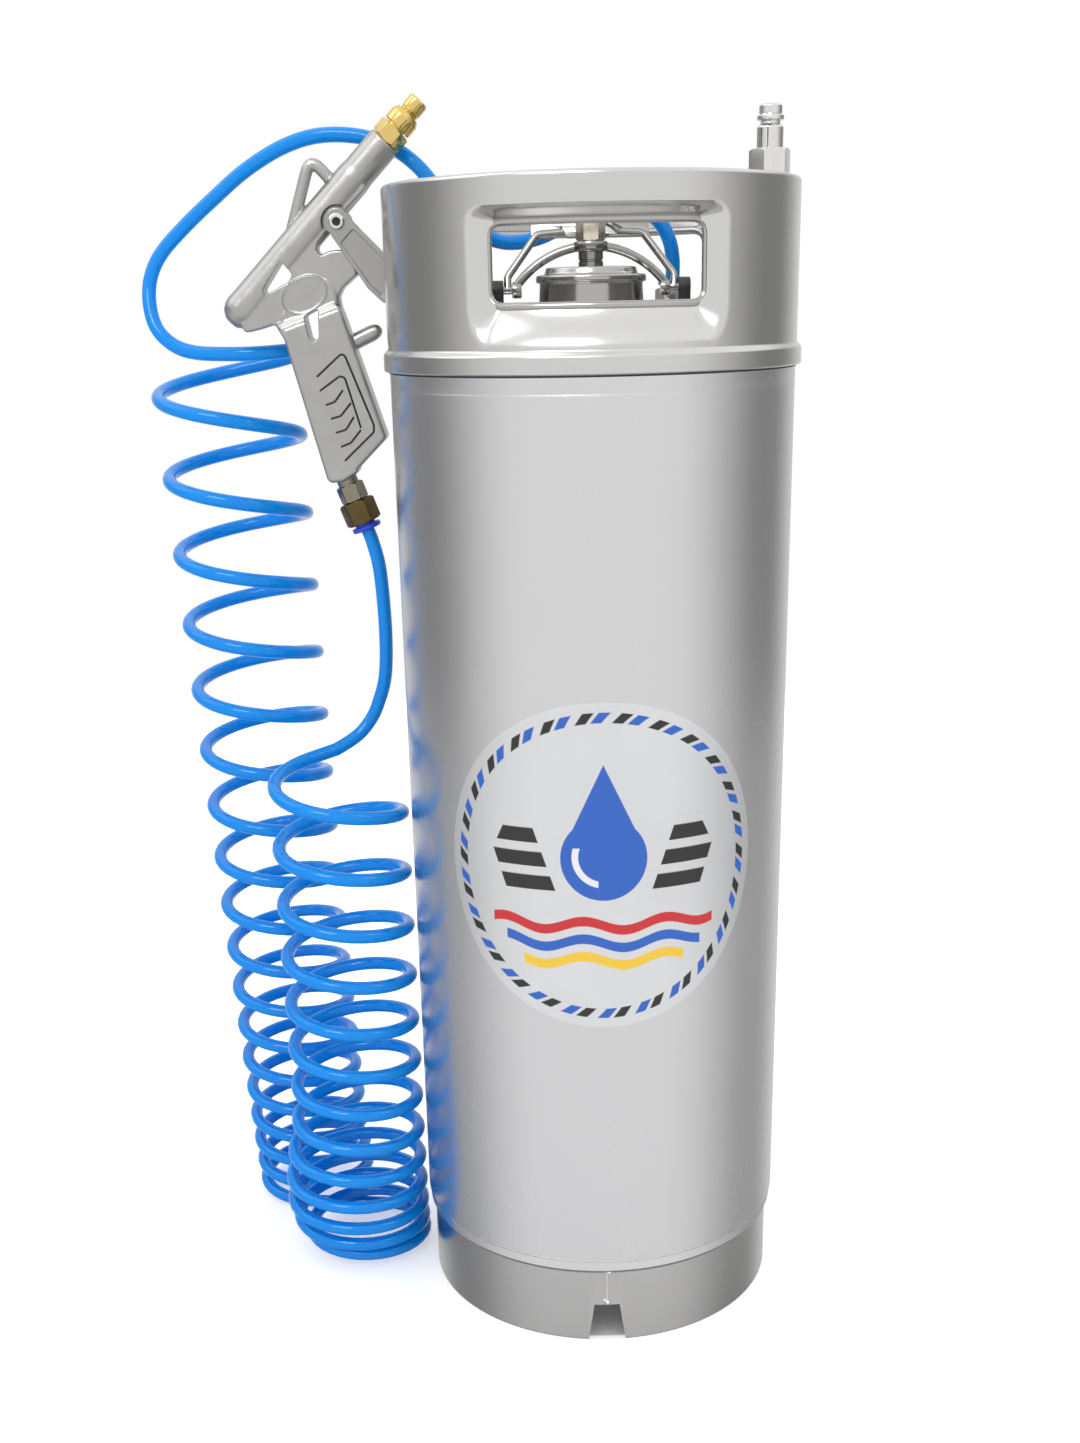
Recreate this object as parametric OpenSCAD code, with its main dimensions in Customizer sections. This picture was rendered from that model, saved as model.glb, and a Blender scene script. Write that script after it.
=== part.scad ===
// Portable stainless pressure tank with a curly air hose and a cast blow gun.
// Origin: centre of the foot ring on the floor, +Z up, +X towards the inlet plug side.
// Units are millimetres.

/* [Tank] */
// Outer diameter of the barrel
tank_d = 215; // [200:1:260]
// Sheet thickness of the barrel and the heads
sheet_t = 1.5; // [1:0.1:2]
// Height of the barrel's lower edge above the floor
barrel_low_z = 55; // [50:1:64]
// Length of the barrel
barrel_len = 494.5; // [400:0.5:600]

/* [Collar] */
// Height of the collar from the lower edge of its bead to its rim
collar_h = 90; // [80:1:110]
// Height of the bead at the foot of the collar
bead_h = 11; // [8:0.5:14]
// How far the bead stands proud of the barrel
bead_out = 3; // [2:0.25:4]
// Width of the front hand opening
hand_w = 104; // [90:1:112]
// Width of the rear hand opening
rear_hand_w = 124; // [104:1:126]
// Height of the hand openings
hand_h = 38; // [30:1:42]
// Depth of the pressed slope round a hand opening
slope_in = 10.5; // [8:0.5:13]
// Thickness of the collar sheet
collar_t = 1.5; // [1:0.1:2]
// Radius of the rolled rim
rim_r = 2.2; // [1.8:0.1:3]

/* [Foot] */
// How far the foot ring stands in from the barrel
foot_in = 3.5; // [2:0.25:5]
// Height of the lip at the top of the foot ring
lip_h = 9; // [6:0.5:12]
// Height of the folded hem inside the foot ring
hem_h = 16; // [10:1:18]
// Height of the drain notch
notch_h = 24; // [14:1:30]
// Width of the drain notch at the floor
notch_w = 22; // [16:1:30]

/* [Lid] */
// Corner radius of the oval head opening
mouth_r = 34.5; // [32:0.5:36]
// Distance from the centre to the corner centres of the oval
mouth_off = 7; // [5:0.5:9]
// Depth of the stiff rim round the opening
mouth_h = 7; // [5:0.5:9]
// How far the lid flange reaches past the opening
flange_over = 5; // [4:0.25:6]
// Diameter of the seal cord
seal_d = 5; // [4:0.25:6]
// Diameter of the spring bow rod
bow_d = 4.5; // [4:0.25:5]
// Rise of the spring bow above its ends
bow_rise = 21.5; // [20:0.5:23]
// Half the span of the spring bow
bow_half = 41; // [40:0.5:42]
// Diameter of the lever rod and its pins
lever_d = 4; // [3.5:0.1:4.2]
// Height of the lever above its pins
lever_h = 31; // [31:0.5:33]

/* [Relief valve] */
// Diameter of the valve post that carries the bow
post_d = 13; // [12:0.25:14]
// Diameter of the post's threaded neck
neck_d = 10; // [9.5:0.25:10.5]
// Width across flats of the cap on the neck
cap_af = 13.5; // [13:0.25:15]
// Diameter of the relief stem
relief_stem_d = 4; // [3:0.25:4.5]
// Mean radius of the pull ring
ring_mean_r = 9; // [7:0.5:9.5]
// Diameter of the pull ring wire
ring_wire_d = 1.5; // [1.2:0.1:1.8]

/* [Inlet] */
// Distance of the inlet's axis in from the barrel's side
inlet_in = 15.2; // [13.5:0.1:20]
// Outer diameter of the inlet riser pipe
riser_d = 17; // [14:0.5:18]
// Width across flats of the plug hex
plug_af = 19; // [17:0.5:20]
// Diameter of the plug nose
plug_nose_d = 11.9; // [10:0.1:12]
// Diameter of the plug stem
plug_stem_d = 13.6; // [13:0.1:14]
// Height of the plug's top above the rim of the collar
plug_above_rim = 35.5; // [30:0.5:40]

/* [Outlet] */
// Distance of the outlet's axis in from the barrel's side
outlet_in = 29.1; // [28:0.1:32]
// Direction of the outlet from the tank axis, counted from +X
outlet_turn = 52.25; // [50:0.25:54]
// Diameter of the dip tube
dip_d = 9.5; // [8:0.5:11]

/* [Gun] */
// How far the trigger pivot hangs outside the barrel's side
gun_out = 28; // [27.5:0.5:30]
// How far the trigger pivot hangs below the rim of the collar
gun_drop = 14; // [13:0.5:15]
// Distance of the gun's middle plane behind the tank axis
gun_y = 45; // [44:0.5:47]
// Diameter of the gun barrel
gun_barrel_d = 18; // [17:0.25:19]
// Thickness of the gun's web
gun_web_t = 15; // [11:0.25:15]
// Thickness of the grip
grip_t = 22; // [19:0.5:23]
// Diameter of the hanging loop's rod
loop_d = 6; // [5:0.25:7]
// Diameter of the trigger pivot screw
pivot_d = 5; // [4:0.25:5.5]
// Travel of the trigger in degrees
trigger_travel = 12; // [8:0.5:13]
// Diameter of the valve stem
stem_d = 4; // [3.5:0.25:4.5]
// Diameter of the brass tip
tip_d = 11; // [10:0.25:12]

/* [Hose] */
// Outer diameter of the hose
hose_d = 8; // [7.5:0.1:8.2]
// Radial gap between the hose and the fittings that hold it
hose_grip_gap = 0.3; // [0.2:0.05:0.4]
// Number of curls in the column that hangs from the collar
rear_turns = 17; // [16:1:18]
// Number of curls in the column that rises to the gun
front_turns = 13; // [12:1:14]

/* [Label] */
// Radius of the round film on the barrel
label_r = 90; // [60:1:95]
// Thickness of the film
label_t = 0.2; // [0.15:0.01:0.3]

/* [Hidden] */
$fn = 64;
eps = 0.05;         // gap between parts that are welded or glued to each other
seat = 0.3;         // gap at a seat between loose parts
run = 0.05;         // radial clearance of a running or sliding fit
tank_r = tank_d / 2;
inner_r = tank_r - sheet_t;
barrel_top_z = barrel_low_z + barrel_len;
collar_z = barrel_top_z - 9.5;
rim_z = collar_z + collar_h;
collar_r = tank_r + 0.5;
bead_r = tank_r + bead_out;
slope_r = collar_r - slope_in;
// Hand opening: its middle height, and the pressed frame round it
hand_z = collar_z + 50;
rear_hand_turn = 4; // the rear opening sits this many degrees towards +X
frame_side = 10;    // width of the pressed frame beside an opening
land = 0.6;         // flat border between an opening and its slopes
frame_low = collar_z + 12;
frame_high = rim_z - 14;
foot_r = tank_r - foot_in;
// Heights of the heads
head_top_z = barrel_top_z + 20.5;
boss_r = 13;
riser_low_z = barrel_top_z + 12;
plug_top_z = rim_z + plug_above_rim;
plug_hex_z = plug_top_z - 44;
pin_z = head_top_z + 9;
bow_r = (bow_half * bow_half + bow_rise * bow_rise) / (2 * bow_rise);
bow_mid_z = pin_z - 0.5;
bow_crown_z = bow_mid_z + bow_rise;
dome_top_z = head_top_z + 20;
relief_top_z = bow_crown_z + 12;
relief_seat_z = dome_top_z - 6;
eye_low_z = bow_crown_z - bow_d / 2 - 0.6;
eye_wall = 4;       // wall of the bow's eye round the post's neck
neck_top_z = relief_top_z - 4;
chamber_d = neck_d - 1.9;
stem_eye_z = relief_top_z + 4;
inlet_x = tank_r - inlet_in;
outlet_x = (tank_r - outlet_in) * cos(outlet_turn);
outlet_y = (tank_r - outlet_in) * sin(outlet_turn);
outlet_z = head_top_z - 4;
// Gun: the pivot's place in the tank frame and the slope of the gun barrel
pivot_x = -(tank_r + gun_out);
pivot_z = rim_z - gun_drop;
gun_slope = 45;
bore_w = 8.7;       // height of the barrel axis above the pivot, square to the barrel
nose_s = 47.5;      // end of the cast barrel, along the barrel from the pivot
valve_w = -17;      // height of the valve axis
cap_s = -8;         // casting's face under the valve cap
valve_s = -22;      // seat of the valve poppet
poppet_t = 2.2;
stem_travel = -valve_w * tan(trigger_travel);
spring_len = 7.8 + stem_travel;
valve_bore_d = 7.4;
valve_thread_d = 8.4;
inlet_s = -98.7;    // middle of the grip's lower end
inlet_w = -93.5;
inlet_turn = 25;    // angle of the hose fittings from the gun's own down
web_half = gun_web_t / 2;
cheek_in = web_half + 0.4;
cheek_t = 2;
// Fittings below the grip, measured down their own axis
adaptor_len = 13;
nut_len = 13;
collet_face = adaptor_len + nut_len + 6;
hose_r = hose_d / 2;

// Hose: the column from the collar turns forward as it drops to the floor
rear_top = [-211, 90];
rear_foot = [-192, 92];
rear_top_z = 538;
rear_top_r = 41;
rear_foot_r = 35.5;
rear_top_pitch = 48;
front_x = -113.5;   // middle of the tube at the right of every front curl
front_top_y = 5;
front_foot_y = 18;
front_r = 37;
front_foot_r = 34;
front_bulge = 4;
front_foot_pitch = 9.2;
front_top_z = 318.3;
front_end = 30;     // the last curl stops this many degrees short of the back
floor_z = hose_r + 0.3;
curl_rings = 8;
// Route of the hose from the outlet over the rim to the first curl
lead_route = [
    [48, 62, 594], [46, 62, 604], [41, 63, 613], [33, 65, 620], [23, 67, 624], [12, 69, 624], [1, 70, 620],
    [-11, 71, 614], [-23, 72, 608], [-35, 71, 605], [-47, 68, 605], [-58, 63, 609], [-68, 58, 616],
    [-76, 55, 625], [-84, 54, 635], [-93, 55, 645], [-106, 59, 654], [-124, 63, 660], [-146, 66, 661],
    [-167, 71, 656], [-189, 76, 645], [-209, 81, 631], [-227, 84, 617],
    [-242, 86, 603], [-249, 85, 590], [-250, 81, 576], [-246, 76, 563], [-236, 70, 554], [-223, 64, 550],
    [-206, 58, 549], [-188, 55, 549], [-169, 60, 550], [-155, 74, 551],
    [-149, 93, 551], [-154, 112, 550], [-168, 126, 547]];
// Route of the hose from the last curl up to the gun
rise_route = [
    [-149, 48, 324], [-141, 52, 329], [-134, 55, 337], [-129, 56, 347], [-124, 55, 364],
    [-122, 50, 392], [-123, 45, 428]];

// ---------- shared shapes ----------

// Ring of a profile given as [radius, height] points
module turned(points) {
    rotate_extrude($fn = 96) polygon(points);
}

// Hollow cylinder standing on the plane
module tube(outer_d, inner_d, length) {
    difference() {
        cylinder(h = length, d = outer_d);
        translate([0, 0, -1]) cylinder(h = length + 2, d = inner_d);
    }
}

// Hexagon bar across flats
module hex(across_flats, length) {
    cylinder(h = length, d = across_flats / cos(30), $fn = 6);
}

// Oval outline of two half circles and the straight between them
module oval(radius, off) {
    for (side = [-1, 1]) translate([side * off, 0]) circle(r = radius);
    translate([-off, -radius]) square([2 * off, 2 * radius]);
}

module oval_plate(radius, off, z, h) {
    translate([0, 0, z]) linear_extrude(h) oval(radius, off);
}

// Straight rod between two points
module rod(from, to, d) {
    v = to - from;
    translate(from)
        rotate([0, acos(v[2] / norm(v)), atan2(v[1], v[0])])
            cylinder(h = norm(v), d = d);
}

// Coil spring along +Z, as one tube
module coil_spring(mean_r, wire_d, length, turns) {
    steps = turns * 8;
    rise = (length - 2 * wire_d) / steps;
    points = [for (i = [0 : steps]) [mean_r * cos(i * 45), mean_r * sin(i * 45), wire_d + i * rise]];
    sweep(points, wire_d / 2, 6);
}

// Gun frame: X along the barrel to the tip, Z square to it, origin on the trigger pivot
module in_gun() {
    translate([pivot_x, gun_y, pivot_z]) rotate([0, -gun_slope, 0]) children();
}

// Frame of the hose fittings: +Z runs from the grip end down the fittings
module in_fittings() {
    in_gun() translate([inlet_s, 0, inlet_w]) rotate([0, 180 + inlet_turn, 0]) children();
}

// Plate in the gun's middle plane from [along, up] points
module gun_plate(points, t) {
    rotate([90, 0, 0]) linear_extrude(t, center = true) polygon(points);
}

// Cylinder along the gun barrel
module along(s, w, d, len) {
    translate([s, 0, w]) rotate([0, 90, 0]) cylinder(h = len, d = d);
}

// ---------- swept tube ----------

function unit(v) = v / norm(v);
function across(v, t) = unit(v - (v * t) * t);
function tangents(p) = [for (i = [0 : len(p) - 1])
    unit(p[min(i + 1, len(p) - 1)] - p[max(i - 1, 0)])];
// Ring normals carried along the path without twist
function normals(t, start) = [for (i = 0, n = across(start, t[0]); i < len(t);
    i = i + 1, n = i < len(t) ? across(n, t[i]) : n) n];

module sweep(path, radius, sides, start = [0, 0, 1]) {
    t = tangents(path);
    n = normals(t, start);
    last = len(path) - 1;
    points = [for (i = [0 : last]) for (k = [0 : sides - 1])
        let (a = 360 * k / sides) path[i] + radius * (cos(a) * n[i] + sin(a) * cross(t[i], n[i]))];
    wall = [for (i = [0 : last - 1]) for (k = [0 : sides - 1])
        let (a = i * sides + k, b = i * sides + (k + 1) % sides)
            each [[a, b + sides, b], [a, a + sides, b + sides]]];
    caps = [for (k = [1 : sides - 2])
        each [[0, k, k + 1], [last * sides, last * sides + k + 1, last * sides + k]]];
    polyhedron(points = points, faces = concat(wall, caps), convexity = 20);
}

// Smooth curve through points, with a few steps from each to the next
function spline(p, i, u) =
    let (a = p[max(i - 1, 0)], b = p[i], c = p[i + 1], d = p[min(i + 2, len(p) - 1)])
        0.5 * (2 * b + (c - a) * u + (2 * a - 5 * b + 4 * c - d) * pow(u, 2)
            + (3 * b - a - 3 * c + d) * pow(u, 3));
function smooth(p, steps) = concat(
    [for (i = [0 : len(p) - 2]) for (j = [0 : steps - 1]) spline(p, i, j / steps)], [p[len(p) - 1]]);

// ---------- tank ----------

module barrel_shell() {
    color("lightgray") translate([0, 0, barrel_low_z]) tube(tank_d, 2 * inner_r, barrel_len);
}

// Outer line of the top head from its skirt to its middle
function head_line(down) = [
    [inner_r - eps - down, barrel_top_z - 18], [inner_r - eps - down, barrel_top_z - 3],
    [inner_r - 6, barrel_top_z + 3 - down], [inner_r - 26, barrel_top_z + 12 - down],
    [inner_r - 46, barrel_top_z + 18 - down], [inner_r - 54, head_top_z - down], [0, head_top_z - down]];

module top_head() {
    outside = head_line(0);
    inside = head_line(sheet_t);
    last = len(inside) - 1;
    color("silver") difference() {
        union() {
            turned(concat(outside, [for (i = [last : -1 : 0]) inside[i]]));
            oval_plate(mouth_r + 2, mouth_off, head_top_z - mouth_h, mouth_h - 0.5);
            translate([inlet_x, 0, riser_low_z - 12]) cylinder(h = 12, r = boss_r - 1);
            translate([outlet_x, outlet_y, outlet_z - 12]) cylinder(h = 12, r = boss_r);
        }
        oval_plate(mouth_r, mouth_off, head_top_z - 30, 40);
        translate([inlet_x, 0, riser_low_z - 20]) cylinder(h = 40, d = riser_d - 6 + 2 * run);
        translate([outlet_x, outlet_y, outlet_z - 20]) cylinder(h = 40, d = 13 + 2 * run);
        // the boss stays inside the barrel
        difference() {
            translate([0, 0, barrel_top_z - 20]) cylinder(h = 60, r = inner_r + 20);
            translate([0, 0, barrel_top_z - 21]) cylinder(h = 62, r = inner_r - eps);
        }
    }
}

module bottom_head() {
    out_r = inner_r - eps;
    base = barrel_low_z;
    color("silver") turned([[out_r, base + 20], [out_r, base + 8], [out_r - 9, base + 1],
        [out_r - 40, base - 13], [0, base - 21],
        [0, base - 21 + sheet_t], [out_r - 40, base - 13 + sheet_t], [out_r - 10, base + 1 + sheet_t],
        [out_r - sheet_t, base + 8.5], [out_r - sheet_t, base + 20]]);
}

// Places one hand opening: dir is -1 for the front and 1 for the rear
module at_hand(dir) {
    rotate([0, 0, dir > 0 ? -rear_hand_turn : 0]) children();
}

// Cut for one hand opening through the collar wall
module hand_cut(dir, w) {
    translate([-w / 2 - frame_side, dir > 0 ? 0 : -tank_d, frame_low])
        cube([w + 2 * frame_side, tank_d, frame_high - frame_low]);
}

// Pressed frame round one hand opening: slopes outside, thinned from behind
module hand_frame(dir, w) {
    low = hand_z - hand_h / 2;
    high = hand_z + hand_h / 2;
    t = collar_t;
    back_r = slope_r - t;
    in_x = w / 2;
    out_x = in_x + frame_side - 1;
    edge_x = in_x + land;
    outer = [out_x, sqrt(collar_r * collar_r - out_x * out_x)];
    inner = [edge_x, sqrt(slope_r * slope_r - edge_x * edge_x)];
    deep = inner + 3 * unit(inner - outer);
    difference() {
        intersection() {
            translate([0, 0, frame_low - t])
                tube(2 * collar_r - 0.8, 2 * back_r, frame_high - frame_low + 2 * t);
            translate([-out_x - 2, dir > 0 ? 0 : -tank_d, 0]) cube([2 * out_x + 4, tank_d, 2 * rim_z]);
        }
        intersection() {
            turned([[slope_r, low - land], [collar_r + 1, frame_low], [collar_r + 1, frame_high],
                [slope_r, high + land]]);
            linear_extrude(2 * rim_z) scale([1, dir]) polygon([deep, outer, [out_x, tank_d],
                [-out_x, tank_d], [-outer[0], outer[1]], [-deep[0], deep[1]]]);
        }
        translate([-in_x, dir > 0 ? 0 : -tank_d, low]) cube([w, tank_d, hand_h]);
        // the frame's underside follows the shoulder of the head
        turned([[back_r - 1, frame_low - 2 * t], [collar_r - t - 0.2, frame_low - 2 * t],
            [collar_r - t - 0.2, frame_low - t / 2], [back_r - 1, frame_low + 4.2]]);
        intersection() {
            turned([[back_r - 1, frame_low - 2 * t], [collar_r - t - 0.2, frame_low - 2 * t],
                [collar_r - t - 0.2, frame_low - t / 2], [back_r, low - t], [back_r - 1, low - t]]);
            translate([-in_x, dir > 0 ? 0 : -tank_d, 0]) cube([w, tank_d, 2 * rim_z]);
        }
    }
}

module collar() {
    t = collar_t;
    fit = tank_r + 0.2;
    color("gainsboro") union() {
        difference() {
            union() {
                turned([[fit, collar_z], [bead_r - 0.5, collar_z], [bead_r, collar_z + 1.5],
                    [bead_r, collar_z + bead_h - 3], [collar_r, collar_z + bead_h], [collar_r, rim_z - rim_r],
                    [collar_r - t, rim_z - rim_r], [collar_r - t, barrel_top_z + seat],
                    [fit, barrel_top_z + seat]]);
                translate([0, 0, rim_z - rim_r])
                    rotate_extrude($fn = 96) translate([collar_r - rim_r, 0]) circle(r = rim_r, $fn = 32);
            }
            for (dir = [-1, 1]) at_hand(dir) hand_cut(dir, dir > 0 ? rear_hand_w : hand_w);
        }
        for (dir = [-1, 1]) at_hand(dir) hand_frame(dir, dir > 0 ? rear_hand_w : hand_w);
    }
}

module foot_ring() {
    lip_r = tank_r - 0.9;
    t = sheet_t;
    top = barrel_low_z - eps;
    hem_r = foot_r - t - 0.8;
    color("silver") difference() {
        turned([[hem_r, 0], [foot_r, 0], [foot_r, top - lip_h], [lip_r, top - lip_h + 1.5],
            [lip_r, top], [foot_r - t - 1, top], [foot_r - t - 1, top - 2], [foot_r - t, top - 2],
            [foot_r - t, hem_h], [hem_r, hem_h]]);
        translate([0, -foot_r + 10, 0]) rotate([90, 0, 0]) linear_extrude(20)
            polygon([[-notch_w / 2, -1], [notch_w / 2, -1], [notch_w / 3, notch_h], [-notch_w / 3, notch_h]]);
    }
}

// Round film wrapped on the front of the barrel
module label_film() {
    label_z = barrel_low_z + barrel_len * 0.48;
    in_r = tank_r + eps;
    out_r = in_r + label_t;
    edge = [for (a = [0 : 7.5 : 352.5])
        [in_r * sin(label_r * cos(a) / in_r * 180 / PI), label_r * sin(a)]];
    color("white") intersection() {
        translate([0, 0, label_z - label_r - 1]) tube(2 * out_r, 2 * in_r, 2 * label_r + 2);
        translate([0, 0, label_z]) rotate([90, 0, 0]) linear_extrude(tank_d) polygon(edge);
    }
}

// ---------- lid ----------

flange_z = head_top_z - mouth_h;

module lid_plate() {
    t = 2;
    neck_r = mouth_r - 1.5;
    color("silver") difference() {
        union() {
            oval_plate(mouth_r + flange_over, mouth_off, flange_z - t - seal_d, t);
            oval_plate(neck_r, mouth_off, flange_z - t - seal_d, seal_d + mouth_h + t + 3);
            translate([0, 0, head_top_z + 2.9]) cylinder(h = 9.5, r = 27);
            translate([0, 0, head_top_z + 12.3]) cylinder(h = 3.6, r = 29);
            translate([0, 0, head_top_z + 15.8]) cylinder(h = dome_top_z - head_top_z - 15.8, r = 24);
        }
        oval_plate(neck_r - t, mouth_off, flange_z - t - seal_d - 1, seal_d + mouth_h + t + 2);
        translate([0, 0, head_top_z - 5]) cylinder(h = 19, r = 25);
        translate([0, 0, head_top_z + 12]) cylinder(h = dome_top_z - head_top_z - 14, r = 22);
        translate([0, 0, head_top_z]) cylinder(h = 40, d = neck_d + 2 * run);
    }
}

module lid_seal() {
    gap = 0.1;
    color("black") difference() {
        oval_plate(mouth_r + flange_over, mouth_off, flange_z - seal_d + gap, seal_d - 2 * gap);
        oval_plate(mouth_r - 1.5 + gap, mouth_off, flange_z - seal_d - 1, seal_d + 2);
    }
}

block_w = 5;
block_x = bow_half + 0.5 - block_w / 2;

// Spring bow with an eye at its crown and a bearing block at each end
module spring_bow() {
    ring_z = bow_crown_z - bow_r;
    color("silver") difference() {
        union() {
            intersection() {
                translate([0, 0, ring_z]) rotate([90, 0, 0])
                    rotate_extrude($fn = 128) translate([bow_r, 0]) circle(d = bow_d, $fn = 32);
                translate([-bow_half, -10, bow_mid_z]) cube([2 * bow_half, 20, 60]);
            }
            translate([0, 0, eye_low_z]) cylinder(h = bow_d + 0.6, d = neck_d + 2 * eye_wall);
            for (side = [-1, 1]) translate([side * block_x, 0, pin_z]) rotate([0, 90, 0])
                cylinder(h = block_w, d = 8, center = true);
        }
        translate([0, 0, bow_crown_z - 10]) cylinder(h = 20, d = neck_d + 2 * run);
        for (side = [-1, 1]) translate([side * block_x, 0, pin_z]) rotate([0, 90, 0])
            cylinder(h = 2 * block_w, d = lever_d + 2 * run, center = true);
    }
}

lever_lean = 20;
lever_top_half = 28;
leg_x = block_x + block_w / 2 + seat + lever_d / 2;
foot_w = 6;
foot_x = leg_x + lever_d / 2 + seat + foot_w / 2;

// Lever of two legs and a flat cross bar, hinged on the ends of the bow
module lid_lever() {
    pin_in = block_x - block_w / 2;
    pin_out = foot_x + foot_w / 2;
    color("silver") translate([0, 0, pin_z]) rotate([-lever_lean, 0, 0]) {
        for (side = [-1, 1]) {
            rod([side * pin_in, 0, 0], [side * pin_out, 0, 0], lever_d);
            rod([side * leg_x, 0, 0], [side * leg_x, 0, 6], lever_d);
            rod([side * leg_x, 0, 6], [side * lever_top_half, 0, lever_h - 2], lever_d);
            translate([side * leg_x, 0, 6]) sphere(d = lever_d, $fn = 32);
        }
        translate([-lever_top_half - 3, -1, lever_h - 4]) cube([2 * lever_top_half + 6, 2, 8]);
    }
}

// Rubber cam blocks on the outer ends of the lever pins
module lid_feet() {
    drop = pin_z - head_top_z - seat;
    for (side = [-1, 1])
        color("#1b1d22") translate([side * foot_x, 0, pin_z]) rotate([0, 90, 0])
            difference() {
                union() {
                    cylinder(h = foot_w, d = 10, center = true);
                    intersection() {
                        translate([0, -4, -foot_w / 2]) cube([drop, 8, foot_w]);
                        cylinder(h = foot_w + 1, r = drop, center = true);
                    }
                }
                cylinder(h = foot_w + 2, d = lever_d + eps, center = true);
            }
}

// ---------- relief valve ----------

// Hollow post: its neck goes through the lid below and the bow above
module relief_body() {
    shoulder_z = eye_low_z - eps;
    low = dome_top_z - 10;
    color("silver") difference() {
        union() {
            translate([0, 0, low]) cylinder(h = neck_top_z - low, d = neck_d);
            translate([0, 0, dome_top_z + eps]) cylinder(h = shoulder_z - dome_top_z - eps, d = post_d);
        }
        translate([0, 0, low - 1]) cylinder(h = 60, d = relief_stem_d + 1);
        translate([0, 0, relief_seat_z]) cylinder(h = 60, d = chamber_d);
    }
}

// Hexagon cap that clamps the bow on the post
module relief_cap() {
    low = bow_crown_z + bow_d / 2 + eps;
    color("wheat") difference() {
        translate([0, 0, low]) hex(cap_af, relief_top_z - low);
        translate([0, 0, low - 1]) cylinder(h = neck_top_z + eps - low + 1, d = neck_d + 2 * run);
        translate([0, 0, low]) cylinder(h = 40, d = relief_stem_d + 2 * run);
    }
}

// Stem with the poppet that rests on the seat inside the post
module relief_stem() {
    low = relief_seat_z + eps;
    color("#b8b090") difference() {
        union() {
            translate([0, 0, low]) cylinder(h = stem_eye_z + 2.5 - low, d = relief_stem_d);
            translate([0, 0, low]) cylinder(h = 2, d = chamber_d - 0.5);
        }
        translate([0, 0, stem_eye_z]) rotate([90, 0, 0])
            cylinder(h = 20, d = ring_wire_d + 0.6, center = true, $fn = 24);
    }
}

module relief_spring() {
    low = relief_seat_z + 2 + 2 * eps;
    color("lightgray") translate([0, 0, low])
        coil_spring((relief_stem_d + chamber_d) / 4, 0.6, neck_top_z - low, 6);
}

ring_drop = 25;

// Pull ring threaded through the eye of the stem, tipped down to the right
module pull_ring() {
    color("silver") translate([0, 0, stem_eye_z]) rotate([0, ring_drop, 0]) translate([ring_mean_r, 0, 0])
        rotate_extrude($fn = 64) translate([ring_mean_r, 0]) circle(d = ring_wire_d, $fn = 16);
}

// ---------- inlet ----------

module inlet_riser() {
    color("silver") difference() {
        union() {
            translate([inlet_x, 0, riser_low_z + eps]) cylinder(h = plug_hex_z - riser_low_z - 2, d = riser_d);
            translate([inlet_x, 0, riser_low_z - 11]) cylinder(h = 12, d = riser_d - 6);
        }
        translate([inlet_x, 0, riser_low_z - 12]) cylinder(h = 120, d = riser_d - 9);
        translate([inlet_x, 0, plug_hex_z - 10]) cylinder(h = 20, d = riser_d - 4 + 2 * run);
    }
}

module inlet_seal() {
    color("#222222") translate([inlet_x, 0, plug_hex_z - 2 + eps])
        tube(riser_d, riser_d - 4 + 4 * run, 2 - 2 * eps);
}

// Quick coupling plug with hexagon, stem, ridge and nose
module inlet_plug() {
    nose_z = plug_top_z - 5.5;
    ridge_z = nose_z - 4;
    hex_top = ridge_z - 11.5;
    color("#d8dade") difference() {
        translate([inlet_x, 0, 0]) union() {
            translate([0, 0, plug_hex_z - 9]) cylinder(h = 10, d = riser_d - 4);
            translate([0, 0, plug_hex_z]) rotate([0, 0, 8]) hex(plug_af, hex_top - plug_hex_z);
            translate([0, 0, hex_top - 1]) cylinder(h = ridge_z - hex_top + 1, d = plug_stem_d);
            translate([0, 0, ridge_z]) cylinder(h = 1.6, d = plug_nose_d - 2);
            translate([0, 0, ridge_z + 1.5]) cylinder(h = 2.5, d = plug_stem_d + 0.3);
            translate([0, 0, nose_z - 0.5]) cylinder(h = 5, d = plug_nose_d);
            translate([0, 0, nose_z + 4.4]) cylinder(h = 1.1, d1 = plug_nose_d, d2 = plug_nose_d - 2);
        }
        translate([inlet_x, 0, plug_hex_z - 10]) cylinder(h = 80, d = 7);
    }
}

// ---------- outlet ----------

outlet_hex_h = 13;
outlet_face_z = outlet_z + outlet_hex_h + 6;

module outlet_body() {
    color("#cfd2d6") translate([outlet_x, outlet_y, outlet_z]) difference() {
        union() {
            translate([0, 0, seat]) hex(17, outlet_hex_h - seat);
            translate([0, 0, -12]) cylinder(h = 13, d = 13);
        }
        translate([0, 0, 3]) cylinder(h = 30, d = 12 + 2 * run);
        translate([0, 0, -13]) cylinder(h = 30, d = dip_d - 2.5);
        translate([0, 0, -13]) cylinder(h = 8, d = dip_d + eps);
    }
}

module outlet_seal() {
    color("#222222") translate([outlet_x, outlet_y, outlet_z + 3 + eps])
        tube(11.8, hose_d + 2 * hose_grip_gap, 3);
}

// Release ring of a push-in fitting: a sleeve with a flange, +Z out of the fitting
module release_ring(flange_d) {
    difference() {
        union() {
            translate([0, 0, -5]) cylinder(h = 6.5, d = 12);
            translate([0, 0, 1.5]) cylinder(h = 3, d = flange_d);
        }
        translate([0, 0, -8]) cylinder(h = 16, d = hose_d + 2 * hose_grip_gap);
    }
}

module outlet_collet() {
    color("royalblue") translate([outlet_x, outlet_y, outlet_z + outlet_hex_h]) release_ring(16);
}

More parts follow.
